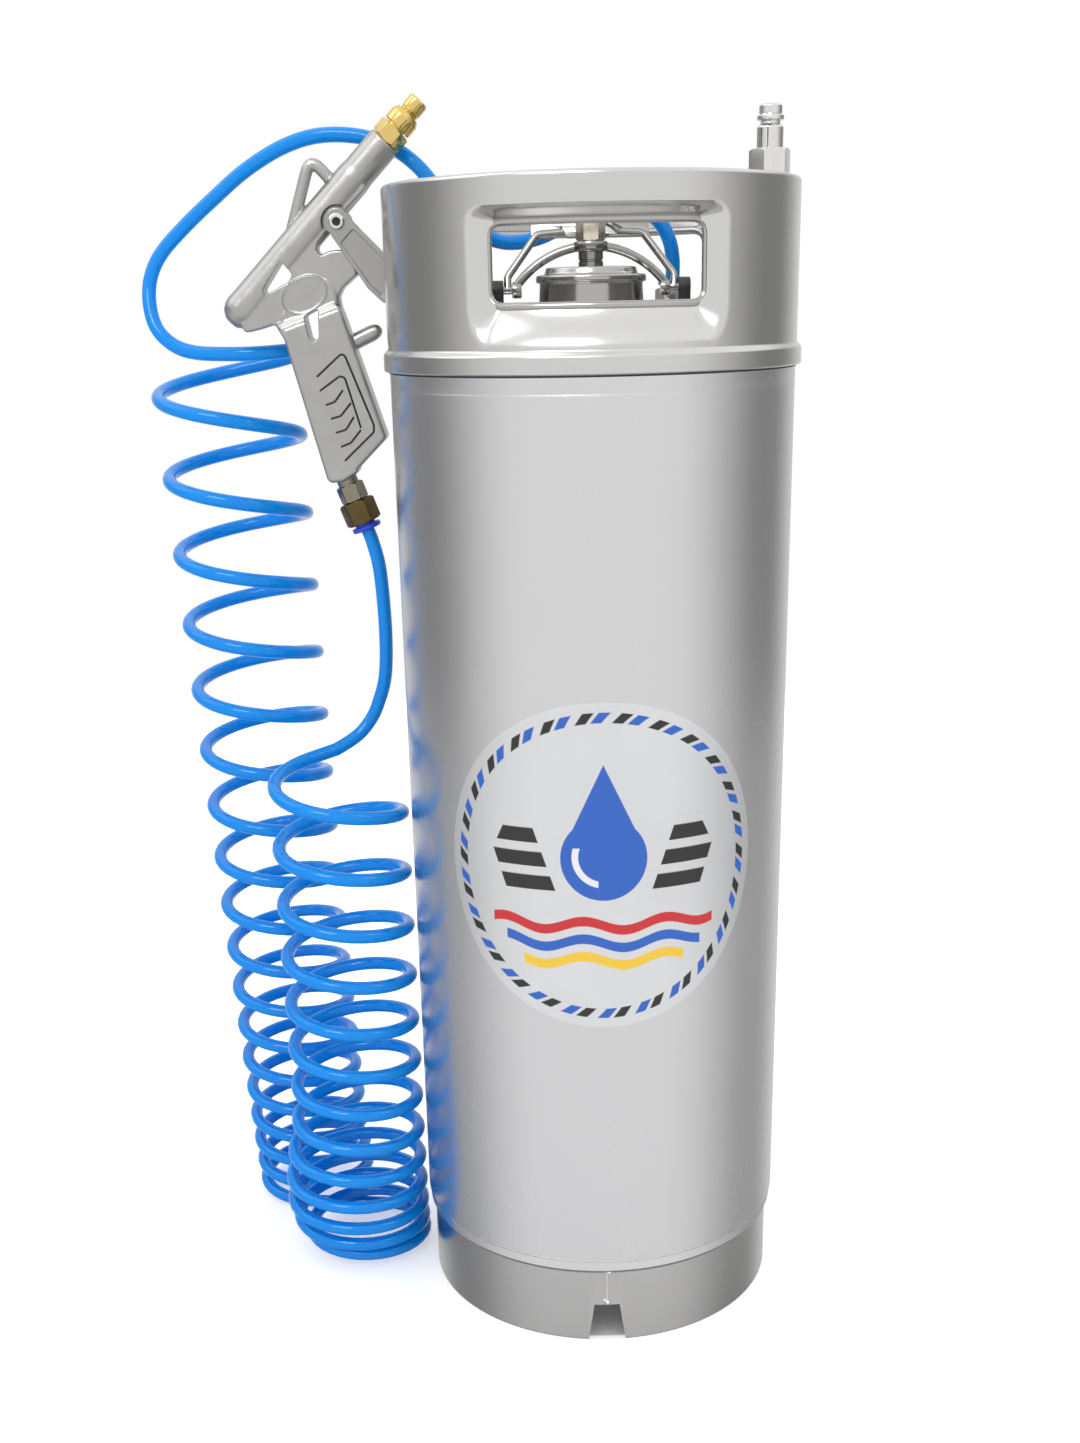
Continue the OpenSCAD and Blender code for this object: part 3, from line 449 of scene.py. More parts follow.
@dataclass(frozen=True)
class PrintedFilm(Finish):
    """Clear round film with a generic print: a ring of dashes, a drop, slanted bars and waves."""

    centre_z: float = 292.36
    barrel_r: float = 107.5
    blue: Colour = (0.01, 0.10, 0.48)
    black: Colour = (0.006, 0.006, 0.007)
    red: Colour = (0.55, 0.012, 0.015)
    yellow: Colour = (0.80, 0.52, 0.03)
    white: Colour = (0.74, 0.75, 0.76)
    ring: Pair = (79.0, 84.5)
    dashes: float = 26.0
    dash_slant: float = 0.045
    drop_r: float = 23.0
    drop_z: float = 6.0
    tip_z: float = 57.0
    bar_foot: float = -12.0
    bar_step: float = 13.0
    wave_span: float = 7.0
    wave_rise: float = 2.6
    wave_h: float = 5.5
    rim: Pair = (88.6, 89.4)

    def paint(self, graph: Graph, shader: bpy.types.Node) -> None:
        """Paints the print, in arc length across and height up from the film's centre.

        Args:
            graph: The material's graph.
            shader: The principled shader.
        """
        x, y, z = graph.axes()
        across = x.math("ARCTAN2", y * -1.0) * self.barrel_r
        up = z - self.centre_z
        radius = (across * across + up * up).math("SQRT")
        turn = up.math("ARCTAN2", across) / math.tau
        colour = graph.blend(graph.noise((40.0, 40.0, 60.0)), self.colour, self.white)
        ink: Number = 0.0

        def band(value: Signal, low: float, high: float) -> Signal:
            """1 where the value lies between low and high."""
            return value.below(high) * (1 - value.below(low))

        # ring of slanted dashes near the edge
        step = (turn * self.dashes + radius * self.dash_slant).math("FRACT")
        ring = band(radius, *self.ring)
        blue_dash = ring * step.below(0.40, 0.02) * (1 - step.below(0.10, 0.02))
        black_dash = ring * step.below(0.82, 0.02) * (1 - step.below(0.52, 0.02))
        # drop with a white glint
        low = up - self.drop_z
        ball = (across * across + low * low).math("SQRT").below(self.drop_r)
        cone = (across.math("ABSOLUTE") + (up - self.tip_z) * 0.47).below(0.0) * (1 - up.below(17.0))
        drop = ball.math("MAXIMUM", cone)
        glint_r = (across * across + (up - 7.0) * (up - 7.0)).math("SQRT")
        glint = band(glint_r, 13.5, 17.0) * across.below(-3.0) * up.below(12.0)
        # three slanted bars on each side of the drop
        slant = across.math("ABSOLUTE") - up * 0.35
        row = ((up - self.bar_foot) / self.bar_step).math("FRACT")
        bars = band(slant, 30.0, 58.0) * row.below(0.62, 0.03) * band(up, self.bar_foot, 27.0)
        bars = bars * (across.math("ABSOLUTE") + up * 0.5).below(66.0)
        # waves under the drop
        ripple = (across / self.wave_span).math("SINE") * self.wave_rise
        waves = [band(up + ripple, low_edge, low_edge + self.wave_h) * across.math("ABSOLUTE").below(reach)
                 for low_edge, reach in ((-34.0, 62.0), (-44.0, 54.0), (-54.0, 44.0))]
        for mask, tone in (
                (blue_dash, self.blue), (black_dash, self.black), (drop, self.blue), (bars, self.black),
                (waves[0], self.red), (waves[1], self.blue), (waves[2], self.yellow)):
            colour = graph.blend(mask, colour, tone)
            ink = mask + ink
        colour = graph.blend(glint, colour, self.white)
        edge = band(radius, *self.rim)
        solid = ink.math("MINIMUM", 1.0)
        graph.feed(shader, {
            "Base Color": graph.blend(edge * 0.35, colour, self.white),
            "Metallic": 0.80 - solid * 0.78,
            "Roughness": self.roughness - solid * 0.08,
            "Coat Weight": 0.35,
            "Normal": graph.bump(graph.noise((70.0, 70.0, 50.0)), 0.25)})


class Finishes(Enum):
    """The finishes of the object, by the piece that wears them."""

    BARREL = RolledSteel("steel_barrel", "stainless_satin", (0.70, 0.70, 0.71), 0.27)
    SHEET = RolledSteel("steel_sheet", "stainless_bright", (0.655, 0.65, 0.64), 0.20, 0.001, 0.14, 0.06)
    FOOT = RolledSteel("steel_foot", "stainless_satin", (0.53, 0.525, 0.52), 0.24, 0.001, 0.10, 0.03)
    LID = RolledSteel("steel_lid", "stainless_bright", (0.48, 0.47, 0.45), 0.20, 0.001, 0.03, 0.08)
    ROD = TurnedMetal("steel_rod", "stainless_bright", (0.34, 0.335, 0.32), 0.20, (0.24, 0.225, 0.19), 0.2)
    PLATED = TurnedMetal("nickel_plate", "plated_steel", (0.76, 0.75, 0.73), 0.16, (0.45, 0.43, 0.38), 0.3)
    CAP = TurnedMetal("cap_plate", "plated_steel", (0.78, 0.74, 0.62), 0.24, (0.40, 0.36, 0.24), 0.5)
    SPRING = TurnedMetal("spring_wire", "spring_steel", (0.55, 0.55, 0.56), 0.28)
    # near black used only for painted shade: the rods in the grip's grooves and the disc in the screw's
    # socket
    SCREW = TurnedMetal("painted_shade_black", "dark_steel", (0.045, 0.044, 0.042), 0.40, (0.02, 0.02, 0.02), 0.4)
    BRASS = TurnedMetal("turned_brass", "brass", (0.76, 0.56, 0.19), 0.15, (0.45, 0.30, 0.08), 0.15)
    GILT = TurnedMetal("gilt_nickel", "dark_brass", (0.27, 0.25, 0.20), 0.24, (0.16, 0.13, 0.07), 0.4)
    # brass darkened far below its own colour as painted shade, standing in for the dark things it reflects;
    # its tarnish spots are wear
    OLD_BRASS = TurnedMetal("shaded_brass", "dark_brass", (0.125, 0.09, 0.038), 0.30, (0.06, 0.045, 0.02), 0.5)
    CAST = CastMetal("cast_skin", "cast_aluminium", (0.46, 0.455, 0.44), 0.33)
    LEVER = CastMetal("cast_trigger", "cast_aluminium", (0.40, 0.395, 0.38), 0.30)
    HOSE = GlossHose("hose_gloss", "hose_blue", (0.0, 0.26, 0.80), 0.20)
    RUBBER = Moulded("rubber_black", "rubber", (0.018, 0.019, 0.022), 0.5)
    BLUE = Moulded("moulded_blue", "blue_plastic", (0.008, 0.055, 0.58), 0.28, (0.03, 0.10, 0.62), 0.4)
    FILM = PrintedFilm("film_print", "printed_film", (0.66, 0.66, 0.67), 0.25)


# ---------- camera, floor and light ----------

@dataclass
class Studio:
    """Camera, pale floor and plain soft light; the floor's and the lamps' sizes are in metres."""

    camera_at: Triple = (-33.9, -925.3, 573.4)
    pitch: float = 19.95
    roll: float = -1.254
    focal_px: float = 1649.2
    image: Tuple[int, int] = (1080, 1443)
    axis_row: float = 900.0
    sensor: float = 36.0
    floor_r: float = 1.6
    floor_tones: Pair = (0.80, 0.82)
    floor_glow: float = 0.42
    floor_clear: float = 0.75
    unlit_r: float = 100.0
    fill: float = 0.27
    daylight: float = 1.12

    def camera(self) -> None:
        """Adds the camera at the tank's front, a little above the collar."""
        data = bpy.data.cameras.new("camera")
        data.sensor_width = self.sensor
        data.lens = self.focal_px * self.sensor / self.image[1]
        data.shift_y = (self.axis_row - self.image[1] / 2) / self.image[1]
        data.clip_start = 0.01
        camera = bpy.data.objects.new("camera", data)
        bpy.context.scene.collection.objects.link(camera)
        tilt = about("X", 90 - self.pitch)
        lean = about("Z", self.roll)
        camera.matrix_world = shift(*self.camera_at) @ tilt @ lean
        bpy.context.scene.camera = camera

    def floor(self) -> None:
        """Adds the pale floor, which the camera sees white with the object's soft shadow."""
        Bench.clear()
        bpy.ops.mesh.primitive_circle_add(vertices=64, radius=self.floor_r, fill_type="NGON")
        floor = bpy.context.object
        floor.name = "floor"
        material = bpy.data.materials.new("floor_white")
        material.use_nodes = True
        graph = Graph(material.node_tree)
        rays = graph.add("ShaderNodeLightPath", {}, {})
        fine = graph.noise((180.0, 180.0, 180.0), 2.0)
        x, y, _ = graph.axes()
        outside = 1 - (x * x + y * y).math("SQRT").below(self.unlit_r, 1.0)
        grey, white = ((tone, tone, tone) for tone in self.floor_tones)
        pale = graph.add("ShaderNodeBsdfDiffuse", {}, {"Color": graph.blend(fine, grey, white)})
        glow = graph.add("ShaderNodeEmission", {}, {
            "Color": (1.0, 1.0, 1.0),
            "Strength": Signal(graph, rays.outputs["Is Camera Ray"]) * outside * self.floor_glow})
        both = graph.add("ShaderNodeAddShader", {}, {0: pale.outputs[0], 1: glow.outputs[0]})
        clear = graph.add("ShaderNodeBsdfTransparent", {}, {})
        mirror = Signal(graph, rays.outputs["Is Glossy Ray"])
        seen = graph.add("ShaderNodeMixShader", {}, {
            0: mirror * self.floor_clear, 1: both.outputs[0], 2: clear.outputs[0]})
        graph.add("ShaderNodeOutputMaterial", {}, {"Surface": seen.outputs[0]})
        floor.data.materials.append(material)

    def world(self) -> None:
        """White for the camera; for metal, a room bright in front, behind and above, darker at the sides."""
        world = bpy.data.worlds.new("studio")
        bpy.context.scene.world = world
        world.use_nodes = True
        graph = Graph(world.node_tree)
        rays = graph.add("ShaderNodeLightPath", {}, {})
        way = graph.add("ShaderNodeTexCoord", {}, {}).outputs["Generated"]
        x, y, z = (Signal(graph, out) for out in graph.add("ShaderNodeSeparateXYZ", {}, {0: way}).outputs)
        level = (x * x + y * y + 0.0001).math("SQRT")
        facing = y / level * -1.0
        front = facing.ramp(-0.30, 0.80) * 0.70
        behind = facing.ramp(-0.50, -1.0) * 0.55
        above = z.ramp(0.10, 0.62) * (1.12 + (x / level).ramp(-0.90, -0.99) * 1.1)
        below = 1 - z.ramp(-0.60, -0.80) * 0.5
        left = facing * 0.93 - x / level * 0.36
        box = left.ramp(0.93, 0.985) * z.ramp(0.50, 0.60) * z.below(0.78, 0.06) * 9.0
        room = (front + behind + self.fill).math("MAXIMUM", above) * below + box
        mirror = Signal(graph, rays.outputs["Is Glossy Ray"])
        camera = Signal(graph, rays.outputs["Is Camera Ray"])
        plain = (1 - mirror) * (1 - camera) * self.daylight
        shade = graph.add("ShaderNodeBackground", {}, {
            "Color": (1.0, 1.0, 1.0), "Strength": camera + (1 - camera) * mirror * room + plain})
        graph.add("ShaderNodeOutputWorld", {}, {"Surface": shade.outputs[0]})

    def lamp(self, name: str, at: Triple, aim: Triple, size: Pair, watts: float) -> None:
        """Adds a soft box.

        Args:
            name: Its name.
            at: Its place in metres.
            aim: The point that it faces.
            size: Width and height in metres.
            watts: Its power.
        """
        data = bpy.data.lights.new(name, "AREA")
        data.shape = "RECTANGLE"
        data.size, data.size_y = size
        data.energy = watts
        lamp = bpy.data.objects.new(name, data)
        bpy.context.scene.collection.objects.link(lamp)
        lamp.visible_glossy = False
        lamp.location = at
        lamp.rotation_euler = (Vector(aim) - Vector(at)).to_track_quat("-Z", "Y").to_euler()

    def light(self) -> None:
        """Adds two tall soft boxes in front and one above."""
        bpy.context.scene.view_settings.view_transform = "Standard"
        self.world()
        self.lamp("box_left", (-1.25, -1.35, 1.05), (-0.05, 0.0, 0.40), (0.35, 1.1), 2.6)
        self.lamp("box_right", (1.10, -1.25, 0.95), (0.0, 0.0, 0.40), (0.35, 1.1), 1.6)
        self.lamp("box_top", (-0.2, 0.1, 1.9), (-0.05, 0.0, 0.4), (1.1, 1.1), 3.0)

    def build(self) -> None:
        """Sets up camera, floor and light."""
        self.camera()
        self.floor()
        self.light()


# ---------- bench ----------

class Cut(Enum):
    """What a boolean tool does to a piece."""

    JOIN = "UNION"
    TAKE = "DIFFERENCE"
    KEEP = "INTERSECT"


def arc_corners(points: Sequence[Sequence[float]], radius: float, steps: int = 5,
                closed: bool = True) -> List[Vector]:
    """Rounds the corners of a line of points, each with an arc as large as its sides allow.

    Args:
        points: Corners in two or three dimensions.
        radius: Wanted radius.
        steps: Points per corner.
        closed: Whether the last point joins the first.

    Returns:
        The rounded line.
    """
    corners = [Vector(p) for p in points]
    count = len(corners)
    line: List[Vector] = []
    for i, corner in enumerate(corners):
        if not closed and i in (0, count - 1):
            line.append(corner)
            continue
        before = corners[i - 1] - corner
        after = corners[(i + 1) % count] - corner
        half = before.angle(after) / 2
        reach = min(radius / max(math.tan(half), 1e-3), 0.45 * before.length, 0.45 * after.length)
        start, end = corner + before.normalized() * reach, corner + after.normalized() * reach
        for k in range(steps + 1):
            t = k / steps
            line.append((1 - t) * (1 - t) * start + 2 * t * (1 - t) * corner + t * t * end)
    return line


def rounded(profile: Sequence[Pair], radius: float, steps: int = 5, closed: bool = False) -> List[Pair]:
    """Rounds the corners of a profile of (radius, height), as arc_corners does.

    Args:
        profile: Its corners.
        radius: Wanted radius.
        steps: Points per corner.
        closed: Whether the last corner joins the first.

    Returns:
        The rounded profile.
    """
    line = arc_corners([(r, 0.0, z) for r, z in profile], radius, steps, closed)
    return [(p.x, p.z) for p in line]


def drum(radius: float, low: float, high: float) -> List[Pair]:
    """Profile of a plain round bar between two heights."""
    return [(0.0, low), (radius, low), (radius, high), (0.0, high)]


class Bench:
    """A maker's bench: each method models, joins or finishes meshes with Blender's own operators."""

    @staticmethod
    def clear() -> None:
        """Leaves edit mode and deselects everything."""
        if bpy.context.object is not None and bpy.context.object.mode != "OBJECT":
            bpy.ops.object.mode_set(mode="OBJECT")
        bpy.ops.object.select_all(action="DESELECT")

    @classmethod
    def pick(cls, *pieces: bpy.types.Object) -> None:
        """Selects pieces alone and makes the first one active.

        Args:
            pieces: The pieces.
        """
        cls.clear()
        for piece in pieces:
            piece.select_set(True)
        bpy.context.view_layer.objects.active = pieces[0]

    @classmethod
    def line(cls, points: Sequence[Vector]) -> bpy.types.Object:
        """Draws a chain of edges and stays in edit mode.

        Args:
            points: Points in millimetres.

        Returns:
            The object, which is being edited.
        """
        cls.clear()
        bpy.ops.mesh.primitive_plane_add(size=MM)
        piece = bpy.context.object
        bpy.ops.object.mode_set(mode="EDIT")
        bpy.ops.mesh.select_mode(type="VERT")
        bpy.ops.mesh.select_all(action="SELECT")
        bpy.ops.mesh.merge(type="CENTER")
        bpy.ops.transform.translate(value=points[0] * MM)
        for here, there in zip(points, points[1:]):
            bpy.ops.mesh.extrude_vertices_move(TRANSFORM_OT_translate={"value": (there - here) * MM})
        return piece

    @staticmethod
    def close() -> None:
        """Merges doubles, turns the faces outwards and leaves edit mode."""
        bpy.ops.mesh.select_all(action="SELECT")
        bpy.ops.mesh.remove_doubles(threshold=1e-6)
        bpy.ops.mesh.normals_make_consistent(inside=False)
        bpy.ops.object.mode_set(mode="OBJECT")

    @classmethod
    def turn(cls, profile: Sequence[Pair], at: Optional[Matrix] = None, steps: int = 96,
             soft: float = 0.0, ring: bool = False) -> bpy.types.Object:
        """Turns a profile round Z.

        Args:
            profile: Closed outline of (radius, height) in millimetres.
            at: Where the piece goes.
            steps: Faces round the piece.
            soft: Radius of the turned edges.
            ring: Whether the profile closes away from the axis.

        Returns:
            The solid.
        """
        outline = [Vector((r, 0.0, z)) for r, z in profile]
        piece = cls.line(outline + [outline[0]] if ring else outline)
        bpy.ops.mesh.select_all(action="SELECT")
        bpy.ops.mesh.spin(steps=steps, angle=math.tau, center=(0, 0, 0), axis=(0, 0, 1))
        cls.close()
        if soft:
            cls.soften(piece, soft)
        return cls.place(piece, at)

    @classmethod
    def plate(cls, outline: Sequence[Sequence[float]], low: float, high: float,
              at: Optional[Matrix] = None, soft: float = 0.0, segments: int = 2) -> bpy.types.Object:
        """Fills an outline in the XZ plane and extrudes it along Y.

        Args:
            outline: Corners as (x, z) in millimetres.
            low: Lower Y.
            high: Upper Y.
            at: Where the piece goes.
            soft: Radius of the edges.
            segments: Faces across each soft edge.

        Returns:
            The solid.
        """
        piece = cls.line([Vector((p[0], low, p[1])) for p in outline])
        bpy.ops.mesh.select_all(action="SELECT")
        bpy.ops.mesh.edge_face_add()
        bpy.ops.mesh.select_all(action="SELECT")
        bpy.ops.mesh.extrude_region_move(TRANSFORM_OT_translate={"value": (0, (high - low) * MM, 0)})
        cls.close()
        if soft:
            cls.soften(piece, soft, segments, 50)
        return cls.place(piece, at)

    @staticmethod
    def curve(name: str, path: Sequence[Sequence[float]], radius: float, around: int) -> bpy.types.Object:
        """Lays a curve with a round section along a line of points.

        Args:
            name: Its name.
            path: Points in millimetres.
            radius: Radius of the section.
            around: Bevel resolution of the section.

        Returns:
            The curve.
        """
        curve = bpy.data.curves.new(name, "CURVE")
        curve.dimensions = "3D"
        curve.bevel_depth = radius * MM
        curve.bevel_resolution = around
        spline = curve.splines.new("POLY")
        spline.points.add(len(path) - 1)
        for point, place in zip(spline.points, path):
            point.co = (*(Vector(place) * MM), 1.0)
        piece = bpy.data.objects.new(name, curve)
        bpy.context.scene.collection.objects.link(piece)
        return piece

    @classmethod
    def rod(cls, path: Sequence[Sequence[float]], radius: float, at: Optional[Matrix] = None,
            loop: bool = False, around: int = 3) -> bpy.types.Object:
        """Sweeps a round bar along a line of points.

        Args:
            path: Points in millimetres.
            radius: Radius of the bar.
            at: Where the piece goes.
            loop: Whether the bar closes on itself.
            around: Bevel resolution of the round section.

        Returns:
            The bar as a closed mesh.
        """
        piece = cls.curve("rod", path, radius, around)
        piece.data.use_fill_caps = True
        piece.data.splines[0].use_cyclic_u = loop
        cls.pick(piece)
        bpy.ops.object.convert(target="MESH")
        piece = bpy.context.object
        bpy.ops.object.mode_set(mode="EDIT")
        cls.close()
        return cls.place(piece, at)

    @classmethod
    def ball(cls, centre: Sequence[float], radius: float) -> bpy.types.Object:
        """Adds a ball.

        Args:
            centre: Its centre in millimetres.
            radius: Its radius in millimetres.

        Returns:
            The ball.
        """
        cls.clear()
        bpy.ops.mesh.primitive_uv_sphere_add(
            segments=24, ring_count=14, radius=radius * MM, location=Vector(centre) * MM)
        bpy.ops.object.transform_apply(location=True, rotation=True, scale=True)
        return bpy.context.object

    @classmethod
    def hexagon(cls, across: float, low: float, high: float, at: Optional[Matrix] = None,
                spin: float = 0.0) -> bpy.types.Object:
        """Adds a hexagon bar with turned chamfers at both ends.

        Args:
            across: Size across flats.
            low: Height of the lower face.
            high: Height of the upper face.
            at: Where the piece goes.
            spin: Turn about its axis in degrees.

        Returns:
            The solid.
        """
        cls.clear()
        corner = across / math.sqrt(3)
        bpy.ops.mesh.primitive_cylinder_add(
            vertices=6, radius=corner * MM, depth=(high - low) * MM, location=(0, 0, (high + low) / 2 * MM),
            rotation=(0, 0, math.radians(30 + spin)))
        bar = bpy.context.object
        bpy.ops.object.transform_apply(location=True, rotation=True, scale=True)
        drop = 0.35 * (corner - across / 2) + 0.25
        inner, outer = across / 2 - 0.15, corner + 0.2
        envelope = cls.turn([(0, low), (inner, low), (outer, low + drop * 1.6), (outer, high - drop * 1.6),
                             (inner, high), (0, high)])
        cls.combine(bar, envelope, Cut.KEEP)
        cls.soften(bar, 0.18, 2, 25)
        return cls.place(bar, at)

    @classmethod
    def combine(cls, piece: bpy.types.Object, tool: bpy.types.Object, cut: Cut) -> bpy.types.Object:
        """Joins, takes or keeps the tool's volume and uses the tool up.

        Args:
            piece: The piece to change.
            tool: The other solid.
            cut: What the tool does.

        Returns:
            The piece.
        """
        cls.modify(piece, "BOOLEAN", operation=cut.value, solver="EXACT", object=tool)
        bpy.data.objects.remove(tool)
        return piece

    @classmethod
    def drill(cls, piece: bpy.types.Object, radius: float, low: float, high: float,
              at: Optional[Matrix] = None, steps: int = 48) -> bpy.types.Object:
        """Takes a round hole out of a piece.

        Args:
            piece: The piece to change.
            radius: Radius of the hole.
            low: Height at which it starts.
            high: Height at which it ends.
            at: Frame whose Z is the hole's axis.
            steps: Faces round the hole.

        Returns:
            The piece.
        """
        return cls.combine(piece, cls.turn(drum(radius, low, high), at, steps), Cut.TAKE)

    @classmethod
    def modify(cls, piece: bpy.types.Object, kind: str, **settings: object) -> None:
        """Adds a modifier, sets it up and applies it.

        Args:
            piece: The piece to change.
            kind: Blender's name of the modifier.
            settings: Its settings by attribute.
        """
        change = piece.modifiers.new(kind.lower(), kind)
        for name, value in settings.items():
            setattr(change, name, value)
        cls.pick(piece)
        bpy.ops.object.modifier_apply(modifier=change.name)

    @classmethod
    def soften(cls, piece: bpy.types.Object, radius: float, segments: int = 2, angle: float = 28.0) -> None:
        """Rounds the edges that turn by more than an angle.

        Args:
            piece: The piece to change.
            radius: Width of the rounding in millimetres.
            segments: Faces across it.
            angle: The least turn in degrees.
        """
        cls.modify(piece, "BEVEL", width=radius * MM, segments=segments, limit_method="ANGLE",
                   angle_limit=math.radians(angle))

    @classmethod
    def cast(cls, piece: bpy.types.Object, grain: float, passes: int, keep: float,
             grooves: Optional[bpy.types.Object] = None) -> None:
        """Gives a sharp solid the blended corners of a casting.

        Args:
            piece: The piece to change.
            grain: Size of the new faces in millimetres.
            passes: Rounds of smoothing.
            keep: Share of the faces that is kept.
            grooves: Fine tool that is taken out after the smoothing.
        """
        cls.modify(piece, "REMESH", mode="VOXEL", voxel_size=grain * MM)
        cls.modify(piece, "SMOOTH", factor=0.5, iterations=passes)
        if grooves is not None:
            cls.combine(piece, grooves, Cut.TAKE)
        cls.modify(piece, "DECIMATE", ratio=keep)

    @classmethod
    def together(cls, *pieces: bpy.types.Object) -> bpy.types.Object:
        """Joins pieces into one object, solids left as they are.

        Args:
            pieces: The pieces.

        Returns:
            The object.
        """
        cls.pick(*pieces)
        bpy.ops.object.join()
        return bpy.context.object

    @staticmethod
    def place(piece: bpy.types.Object, at: Optional[Matrix]) -> bpy.types.Object:
        """Moves the mesh, and leaves the object at the origin.

        Args:
            piece: The piece.
            at: Where its mesh goes, or None to leave it.

        Returns:
            The piece.
        """
        if at is not None:
            piece.data.transform(at)
            piece.data.update()
        return piece

    @classmethod
    def deliver(cls, piece: bpy.types.Object, name: str, body: str, finish: Finishes,
                nodes: Iterable[str] = (), angle: float = 32.0) -> bpy.types.Object:
        """Names, dresses and hands over a finished piece.

        Args:
            piece: The finished piece.
            name: Its name.
            body: The body that it rides on.
            finish: What it wears.
            nodes: The construction nodes that it stands for.
            angle: Edges sharper than this stay sharp.

        Returns:
            The piece.
        """
        piece.name = name
        if piece.type == "MESH":
            cls.pick(piece)
            bpy.ops.object.shade_smooth_by_angle(angle=math.radians(angle))
        piece.data.materials.clear()
        piece.data.materials.append(finish.value.material())
        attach(piece, body)
        nodes = tuple(nodes)
        if nodes:
            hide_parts(*nodes)
        faces = len(piece.data.polygons) if piece.type == "MESH" else 0
        LOG.info("%s: %s, %d faces, rides on %s", name, finish.value.name, faces, body)
        cls.clear()
        return piece

    @staticmethod
    def dress(finish: Finishes, *nodes: str) -> None:
        """Gives construction nodes that stay their finish.

        Args:
            finish: What they wear.
            nodes: Their names.
        """
        for node in nodes:
            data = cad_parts[node].data
            data.materials.clear()
            data.materials.append(finish.value.material())
            LOG.info("%s: %s", node, finish.value.name)


# ---------- hose ----------

